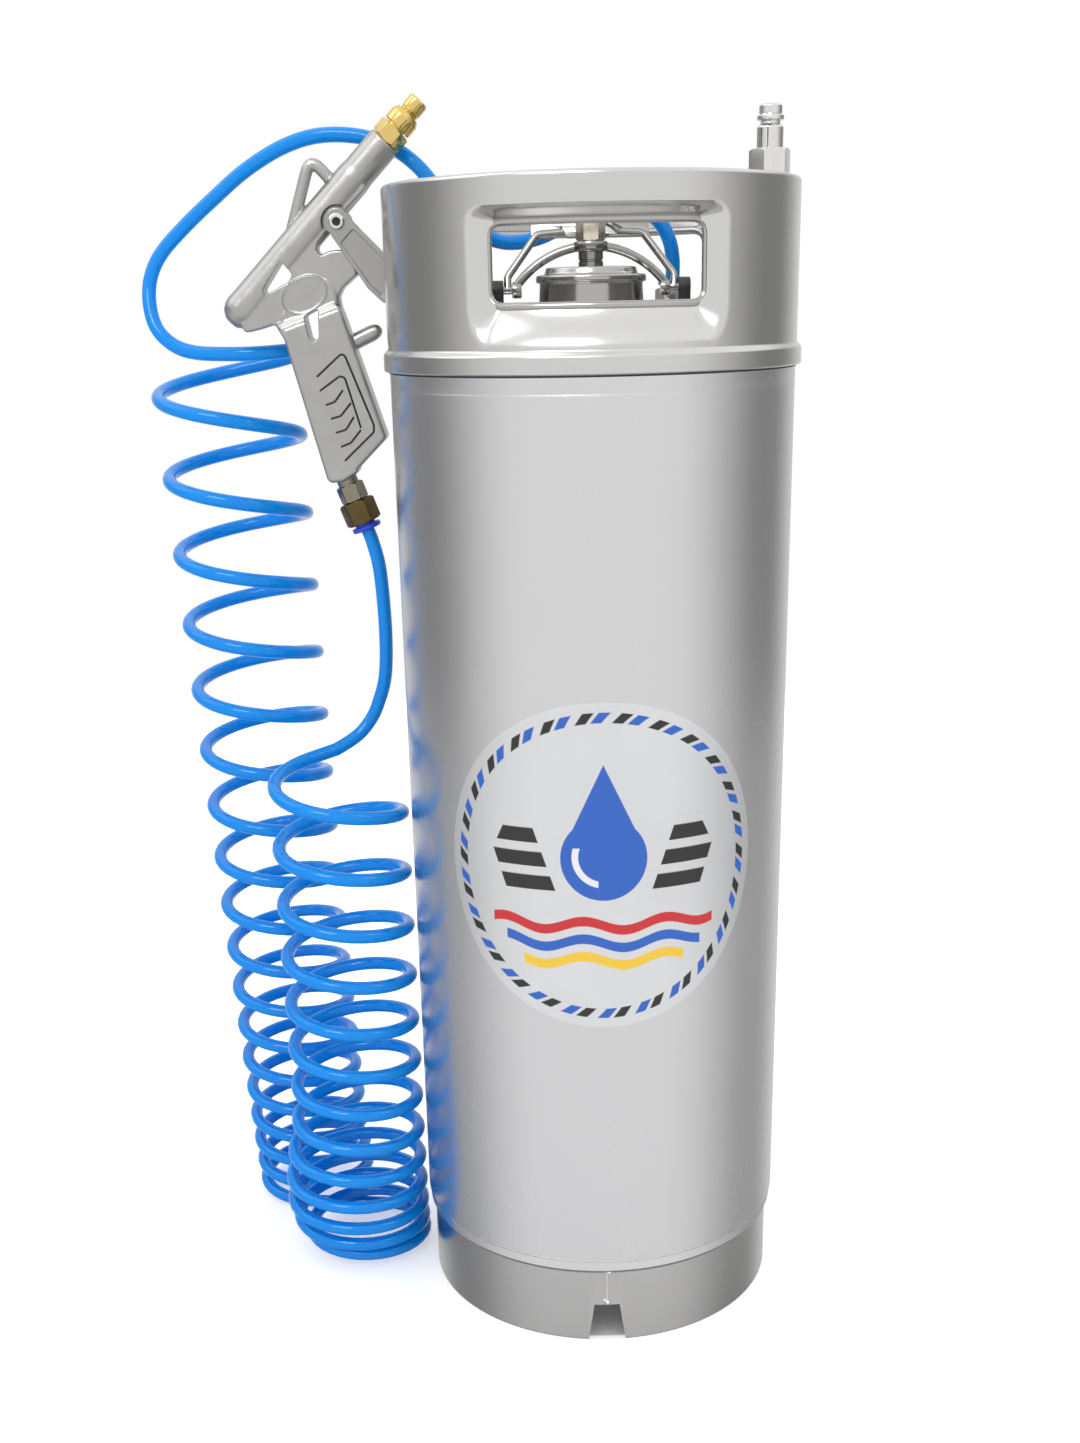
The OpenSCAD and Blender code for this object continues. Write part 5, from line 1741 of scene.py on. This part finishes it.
@dataclass
class Outlet(PushFitting):
    """Straight push-in fitting on the head."""

    seat_z: float = 566.0
    across: float = 17.0
    height: float = 13.0

    def build(self) -> None:
        """Builds the fitting's body and release ring."""
        at = shift(*OUTLET_AT, self.seat_z)
        body = self.socket(self.across, 0.3, self.height, 3, at)
        shank = Bench.turn([(3.5, -12), (6.5, -12), (6.5, 0.8), (3.5, 0.8)], at, 48, ring=True)
        Bench.combine(body, shank, Cut.JOIN)
        Bench.deliver(body, "outlet_nut", "tank", Finishes.PLATED, ["outlet_body"])
        Bench.deliver(self.collar(self.height, 8, at), "outlet_ring", "outlet_collet", Finishes.BLUE,
                      ["outlet_collet"])
        Bench.dress(Finishes.RUBBER, "outlet_seal")


# ---------- blow gun ----------

@dataclass
class BlowGun:
    """Cast gun body, its trigger, pivot screw and valve."""

    web: float = 15.0
    grip: float = 22.0
    barrel_r: float = 9.5
    nose_r: float = 9.0
    tail_s: float = -71.0
    loop_r: float = 3.3
    line_r: float = 0.62
    # radius of the black rods at the bottom of the grip's grooves, which are painted shade
    groove_shade_r: float = 0.26
    cheek_in: float = 7.9
    cheek: float = 2.0
    key_r: float = 2.7
    body_line: Tuple[Pair, ...] = (
        (24, -0.3), (24, 12), (-62, 12), (-76, 4), (-78, -1), (-70.5, -5.9), (-64, -9.4), (-62.5, -14.3),
        (-75, -35), (-40, -45), (-31, -30), (-28, -26), (-23, -24.5), (-12.5, -25.6), (-7.6, -21),
        (-7.6, -12.5), (-10.5, -9.3), (-14, -6.5), (-18.8, -4.6), (-18.2, -1.3), (-14.7, 0.4), (-7.5, 1))
    grip_line: Tuple[Pair, ...] = (
        (-62.5, -14.3), (-31, -30), (-64.8, -95.1), (-88, -94.8), (-90.5, -96), (-100, -93.4), (-105.2, -89),
        (-105.4, -86))
    tri_slot: Tuple[Pair, ...] = ((-53.6, 6.4), (-55.4, 4), (-41.4, -1.1), (-37, 0), (-35.9, 9.2))
    drop_slot: Tuple[Pair, ...] = ((-48.6, -19), (-40.1, -21.8), (-51.1, -32.2), (-55, -31.9), (-55, -28.2))
    oval_at: Pair = (-40.1, -11.9)
    oval_turn: float = -18.0
    oval_half: Pair = (12.4, 8.7)
    field_y: float = 8.3
    recess_line: Tuple[Pair, ...] = (
        (3.7, -8.5), (3.7, -28), (2.2, -38), (-1.4, -43.8), (-5.4, -47.2), (-8.8, -47.4), (-11.2, -43),
        (-11.5, -34.6), (-9.4, -24.5), (-6.8, -8.5))
    grooves: Tuple[Tuple[Pair, ...], ...] = (
        ((-67.3, -45.1), (-49, -46.7), (-48.3, -49), (-64.6, -85), (-67.4, -87.6), (-90.4, -86.3)),
        ((-71.8, -51.2), (-58.1, -54), (-57, -56.7), (-70.8, -80.9)),
        ((-75.1, -58.6), (-70.4, -61.1), (-62.5, -60.1)),
        ((-78.8, -65.5), (-73.7, -68.5), (-64.6, -67.9)),
        ((-82.5, -72.5), (-77.4, -75.5), (-69.1, -74.1)),
        ((-86.3, -79.6), (-80.8, -82.2), (-71.6, -81.6)))
    cheek_line: Tuple[Pair, ...] = (
        (5.6, 0), (5.6, -28.3), (4, -39), (0, -46), (-5, -50), (-10, -50.5), (-13.2, -45.5), (-13.6, -35),
        (-11.4, -24), (-7, -1))
    blade_line: Tuple[Pair, ...] = (
        (5.6, -10), (5.6, -28.3), (4, -39), (0, -46), (-5, -50), (-6, -48), (-1.6, -44.6), (1.8, -38.2),
        (3.2, -28), (3.2, -10))

    def solids(self) -> List[bpy.types.Object]:
        """Models what the casting is blended from.

        Returns:
            The solids.
        """
        lengthwise = about("Y", 90)
        tail, nose = self.tail_s, Gun.NOSE_S
        tube = [(0, tail - 9.2), (4.2, tail - 8.6), (7.4, tail - 6.2), (9.2, tail - 2.6), (9.7, tail),
                (self.barrel_r, tail + 6), (self.barrel_r, 22), (self.nose_r, 26), (self.nose_r, nose - 0.8),
                (8.3, nose), (0, nose)]
        parts = [Bench.turn(tube, shift(0, 0, Gun.BORE_W) @ lengthwise, 64)]
        body = arc_corners(self.body_line, 2.5, 4)
        parts.append(Bench.plate(body, -self.web / 2, self.web / 2, soft=1.4, segments=3))
        grip = arc_corners(self.grip_line, 3.0, 4)
        parts.append(Bench.plate(grip, -self.grip / 2, self.grip / 2, soft=4.5, segments=5))
        cheek = arc_corners([(-60, -8), (-30, -8.5), (-24, -15), (-26, -24), (-34, -32), (-62, -30)], 6.0, 5)
        parts.append(Bench.plate(cheek, -8.2, 8.2, soft=2.6, segments=4))
        for k in range(4):
            rise, half = 4.0 - k, 8.8 + 0.55 * k
            neck = [(-63, -14.3 + rise), (-31, -30 + rise), (-34, -36), (-67, -25)]
            parts.append(Bench.plate(arc_corners(neck, 2.0, 4), -half, half, soft=0.6))
        field = [(s * 1.03, w * 1.03) for s, w in self.ellipse()]
        field = [(self.oval_at[0] + s, self.oval_at[1] + w) for s, w in field]
        parts.append(Bench.plate(field, -self.field_y, self.field_y, soft=0.4))
        parts.append(Bench.turn(drum(6.6, -self.web / 2, self.web / 2), about("X", 90), 48))
        valve = [(0, -34), (5.2, -34), (6.6, -31), (7.0, -26), (6.6, -20), (6.5, -8.4), (6.1, -8), (0, -8)]
        parts.append(Bench.turn(valve, shift(0, 0, Gun.VALVE_W) @ lengthwise, 48))
        loop = arc_corners([(12.7, 0, 14), (13.6, 0, 32.5), (-21.8, 0, 15), (-30, 0, 11)], 5.0, 6, False)
        parts.append(Bench.rod(loop, self.loop_r, around=4))
        peg = Bench.turn([(0, -3), (4.35, -3), (4.35, 13.5), (3.7, 16.4), (2.2, 18.4), (0, 19.2)],
                         shift(-42, 0, -46.6) @ about("Y", 111), 40)
        parts.append(peg)
        return parts

    def tools(self) -> List[bpy.types.Object]:
        """Models what is taken out of the casting.

        Returns:
            The solids.
        """
        lengthwise = about("Y", 90)
        cuts = []
        for slot in (self.tri_slot, self.drop_slot):
            cuts.append(Bench.plate(arc_corners(slot, 1.6, 4), -20, 20))
        for side in (-1, 1):
            at = shift(0, side * (self.web / 2 - 0.3), 0) @ about("X", -90 * side)
            cuts.append(Bench.turn(drum(8.4, 0, 14), at, 48))
        cuts.append(Bench.turn([(0, -40), (3.7, -40), (3.7, -17), (4.25, -16), (4.25, 5), (0, 5)],
                               shift(0, 0, Gun.VALVE_W) @ lengthwise, 40))
        cuts.append(Bench.turn([(0, 20), (4, 20), (4, 35.5), (6.55, 35.5), (6.55, 55), (0, 55)],
                               shift(0, 0, Gun.BORE_W) @ lengthwise, 40))
        cuts.append(Bench.turn(drum(6.05, -6, 14), Gun.grip_end(), 40))
        return cuts

    def scored(self, radius: float, out: float) -> bpy.types.Object:
        """Lines along the grip's grooves on both sides.

        Args:
            radius: Radius of the lines.
            out: Height of their middle over the grip's face.

        Returns:
            The lines as one piece.
        """
        face = self.grip / 2 + out
        lines = []
        for groove in self.grooves:
            for side in (-1, 1):
                line = arc_corners([(s, side * face, w) for s, w in groove], 2.2, 4, False)
                lines.append(Bench.rod(line, radius, around=2))
        return Bench.together(*lines)

    def ellipse(self) -> List[Pair]:
        """Draws the blank oval field round its own middle.

        Returns:
            The outline.
        """
        count, turn = 48, math.radians(self.oval_turn)
        cosine, sine = math.cos(turn), math.sin(turn)
        points = []
        for k in range(count):
            x = self.oval_half[0] * math.cos(math.tau * k / count)
            z = self.oval_half[1] * math.sin(math.tau * k / count)
            points.append((x * cosine - z * sine, x * sine + z * cosine))
        return points

    def field(self) -> List[bpy.types.Object]:
        """Models the raised rims of the blank oval fields on both cheeks.

        Returns:
            The rims.
        """
        rims = []
        for side in (-1, 1):
            line = [(self.oval_at[0] + s, side * (self.field_y + 0.05), self.oval_at[1] + w)
                    for s, w in self.ellipse()]
            rims.append(Bench.rod(line, 0.55, loop=True, around=2))
        return rims

    def casting(self) -> None:
        """Blends the casting out of its solids, and lays black rods in the grip's grooves as painted shade.
        """
        parts = self.solids() + self.field()
        piece = parts[0]
        for part in parts[1:]:
            Bench.combine(piece, part, Cut.JOIN)
        for tool in self.tools():
            Bench.combine(piece, tool, Cut.TAKE)
        Bench.cast(piece, grain=0.45, passes=4, keep=0.30, grooves=self.scored(self.line_r, 0.07))
        Bench.place(piece, Gun.frame())
        # black rods at the bottom of the grooves: painted shade in the grooves
        groove_shade = Bench.place(self.scored(self.groove_shade_r, -0.32), Gun.frame())
        Bench.deliver(groove_shade, "painted_groove_shade", "tank", Finishes.SCREW)
        Bench.deliver(piece, "gun_casting", "tank", Finishes.CAST, ["gun_body"], angle=60)

    def trigger(self) -> None:
        """Channel shaped trigger with ribs inside."""
        sides = []
        for side in (-1, 1):
            low, high = sorted((side * self.cheek_in, side * (self.cheek_in + self.cheek)))
            sides.append(Bench.plate(arc_corners(self.cheek_line, 3.0, 5), low, high, soft=0.5))
            sides.append(Bench.turn(drum(7, low, high), about("X", -90), 48, 0.5))
        reach = self.cheek_in + 0.25
        piece = Bench.plate(arc_corners(self.blade_line, 2.0, 4), -reach, reach)
        for part in sides:
            Bench.combine(piece, part, Cut.JOIN)
        for s, w in ((1.9, -32.5), (-0.4, -41.0)):
            rib = [(s, w - 0.7), (s + 2.6, w - 0.7), (s + 2.6, w + 0.7), (s, w + 0.7)]
            Bench.combine(piece, Bench.plate(rib, -reach, reach), Cut.JOIN)
        outer = self.cheek_in + self.cheek
        for side in (-1, 1):
            low, high = sorted((side * (outer - 0.7), side * (outer + 1)))
            Bench.combine(piece, Bench.plate(arc_corners(self.recess_line, 2.0, 5), low, high), Cut.TAKE)
        Bench.drill(piece, 2.55, -20, 20, about("X", 90), 32)
        Bench.cast(piece, grain=0.35, passes=2, keep=0.45)
        Bench.place(piece, Gun.frame())
        Bench.deliver(piece, "trigger_channel", "trigger", Finishes.LEVER, ["trigger"], angle=60)

    def screw(self) -> None:
        """Pivot screw with a hexagon socket in its head, and a black disc in the socket as painted shade."""
        half = self.cheek_in + self.cheek
        at = Gun.frame() @ about("X", 90)
        outline = [(0, -half - 2.4), (3.6, -half - 2.4), (4.25, -half - 1.7), (4.25, -half - 0.2),
                   (2.5, -half - 0.2), (2.5, half + 0.2), (4.25, half + 0.2), (4.25, half + 1.6),
                   (3.5, half + 2.4), (0, half + 2.4)]
        screw = Bench.turn(outline, at, 48)
        Bench.clear()
        bpy.ops.mesh.primitive_cylinder_add(
            vertices=6, radius=self.key_r * MM, depth=3 * MM, location=(0, 0, (half + 2.4) * MM))
        bpy.ops.object.transform_apply(location=True, rotation=True, scale=True)
        Bench.combine(screw, Bench.place(bpy.context.object, at), Cut.TAKE)
        Bench.deliver(screw, "socket_screw", "tank", Finishes.PLATED, ["pivot_screw"])
        # black disc at the bottom of the socket: painted shade
        floor = [(0, half + 0.8), (2.25, half + 0.8), (2.25, half + 1.7), (1.2, half + 1.55), (0, half + 1.5)]
        socket_shade = Bench.turn(floor, at, 24)
        Bench.deliver(socket_shade, "painted_socket_shade", "tank", Finishes.SCREW)

    def valve(self) -> None:
        """Cap and stem of the air valve behind the trigger."""
        at = Gun.along(0, Gun.VALVE_W)
        cap = Bench.turn([(2.05, -16), (4.2, -16), (4.2, -7.3), (5.5, -7.3), (5.5, -5.6), (4.9, -5.0),
                          (2.6, -5.0), (2.05, -5.6)], at, 64, ring=True)
        Bench.deliver(cap, "cap_screw", "tank", Finishes.PLATED, ["valve_cap"])
        stem = Bench.turn([(0, -24.2), (3.2, -24.2), (3.2, -22), (2, -22), (2, 2.2), (1.4, 2.8), (0, 2.8)],
                          at, 32)
        Bench.deliver(stem, "valve_pin", "valve_stem", Finishes.BRASS, ["valve_stem"])
        Bench.dress(Finishes.RUBBER, "valve_seal")
        Bench.dress(Finishes.SPRING, "valve_spring")

    def build(self) -> None:
        """Builds the gun without its nozzle and fittings."""
        self.casting()
        self.trigger()
        self.screw()
        self.valve()


@dataclass
class Nozzle:
    """Brass nut, turning ring and tip."""

    face: float = 47.6
    across: float = 15.4
    nut_len: float = 8.6
    tip_r: float = 5.5

    def build(self) -> None:
        """Builds the nozzle's pieces."""
        at = Gun.along(0, Gun.BORE_W)
        s = self.face
        nut = Bench.hexagon(self.across, s, s + self.nut_len, at)
        shank = Bench.turn([(0, s - 11.1), (6.5, s - 11.1), (6.5, s + 1), (5, s + 2), (5, s + 15.9),
                            (0, s + 15.9)], at, 48)
        Bench.combine(nut, shank, Cut.JOIN)
        Bench.drill(nut, 3, s - 13, s + 20, at, 32)
        Bench.deliver(nut, "nozzle_base", "tank", Finishes.BRASS, ["nozzle_nut"])
        ring = rounded([(5.05, s + 9.2), (7.5, s + 9.2), (8, s + 9.9), (8, s + 15.6), (6.4, s + 18.4),
                        (3.55, s + 18.4), (3.55, s + 16.9), (5.05, s + 16.9)], 0.3, 3, True)
        Bench.deliver(Bench.turn(ring, at, 96, ring=True), "turning_ring", "nozzle", Finishes.BRASS,
                      ["nozzle_ring"])
        t = s + 18.5
        r = self.tip_r
        tip = rounded([(1.5, t - 2.4), (3.5, t - 2.4), (3.5, t), (r - 0.6, t), (r - 0.6, t + 0.7),
                       (r - 0.2, t + 1.0), (r - 0.8, t + 1.5), (r, t + 1.9), (r, t + 8), (r - 1, t + 9),
                       (2.2, t + 9), (1.5, t + 8.3)], 0.35, 3, True)
        Bench.deliver(Bench.turn(tip, at, 72, ring=True), "tip", "nozzle", Finishes.BRASS, ["nozzle_tip"])
        Bench.dress(Finishes.RUBBER, "nozzle_seal")


@dataclass
class GunFitting(PushFitting):
    """Adaptor, nut and release ring that hold the hose below the grip."""

    adaptor_across: float = 14.0
    adaptor_len: float = 13.0
    nut_across: float = 18.0
    nut_len: float = 13.0

    def build(self) -> None:
        """Builds the fitting's pieces."""
        at = Gun.fittings()
        adaptor = Bench.hexagon(self.adaptor_across, 3, self.adaptor_len, at)
        Bench.combine(adaptor, Bench.turn(drum(6, -11, 4), at, 48), Cut.JOIN)
        bore = Bench.turn([(0, -12), (2.5, -12), (2.5, 9), (4.55, 9), (4.55, 20), (0, 20)], at, 32)
        Bench.combine(adaptor, bore, Cut.TAKE)
        Bench.deliver(adaptor, "hose_adaptor", "tank", Finishes.GILT, ["gun_adaptor"])
        face = self.adaptor_len + GAP
        nut = self.socket(self.nut_across, face, face + self.nut_len, face + 2, at)
        # the nut wears the brass that is darkened as painted shade
        Bench.deliver(nut, "hose_nut", "tank", Finishes.OLD_BRASS, ["gun_nut"])
        Bench.deliver(self.collar(face + self.nut_len, 8.5, at), "hose_ring", "gun_collet", Finishes.BLUE,
                      ["gun_collet"])
        Bench.dress(Finishes.RUBBER, "gun_hose_seal")


# ---------- order of work ----------

def main() -> None:
    """Builds the studio and every sub-assembly."""
    logging.basicConfig(level=logging.INFO, format="%(name)s %(message)s")
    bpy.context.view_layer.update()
    Studio().build()
    CurlyHose().build()
    for assembly in (Tank(), Lid(), ReliefValve(), Inlet(), Outlet(), BlowGun(), Nozzle(), GunFitting()):
        LOG.info("building %s", type(assembly).__name__)
        assembly.build()


if __name__ == "__main__":
    main()
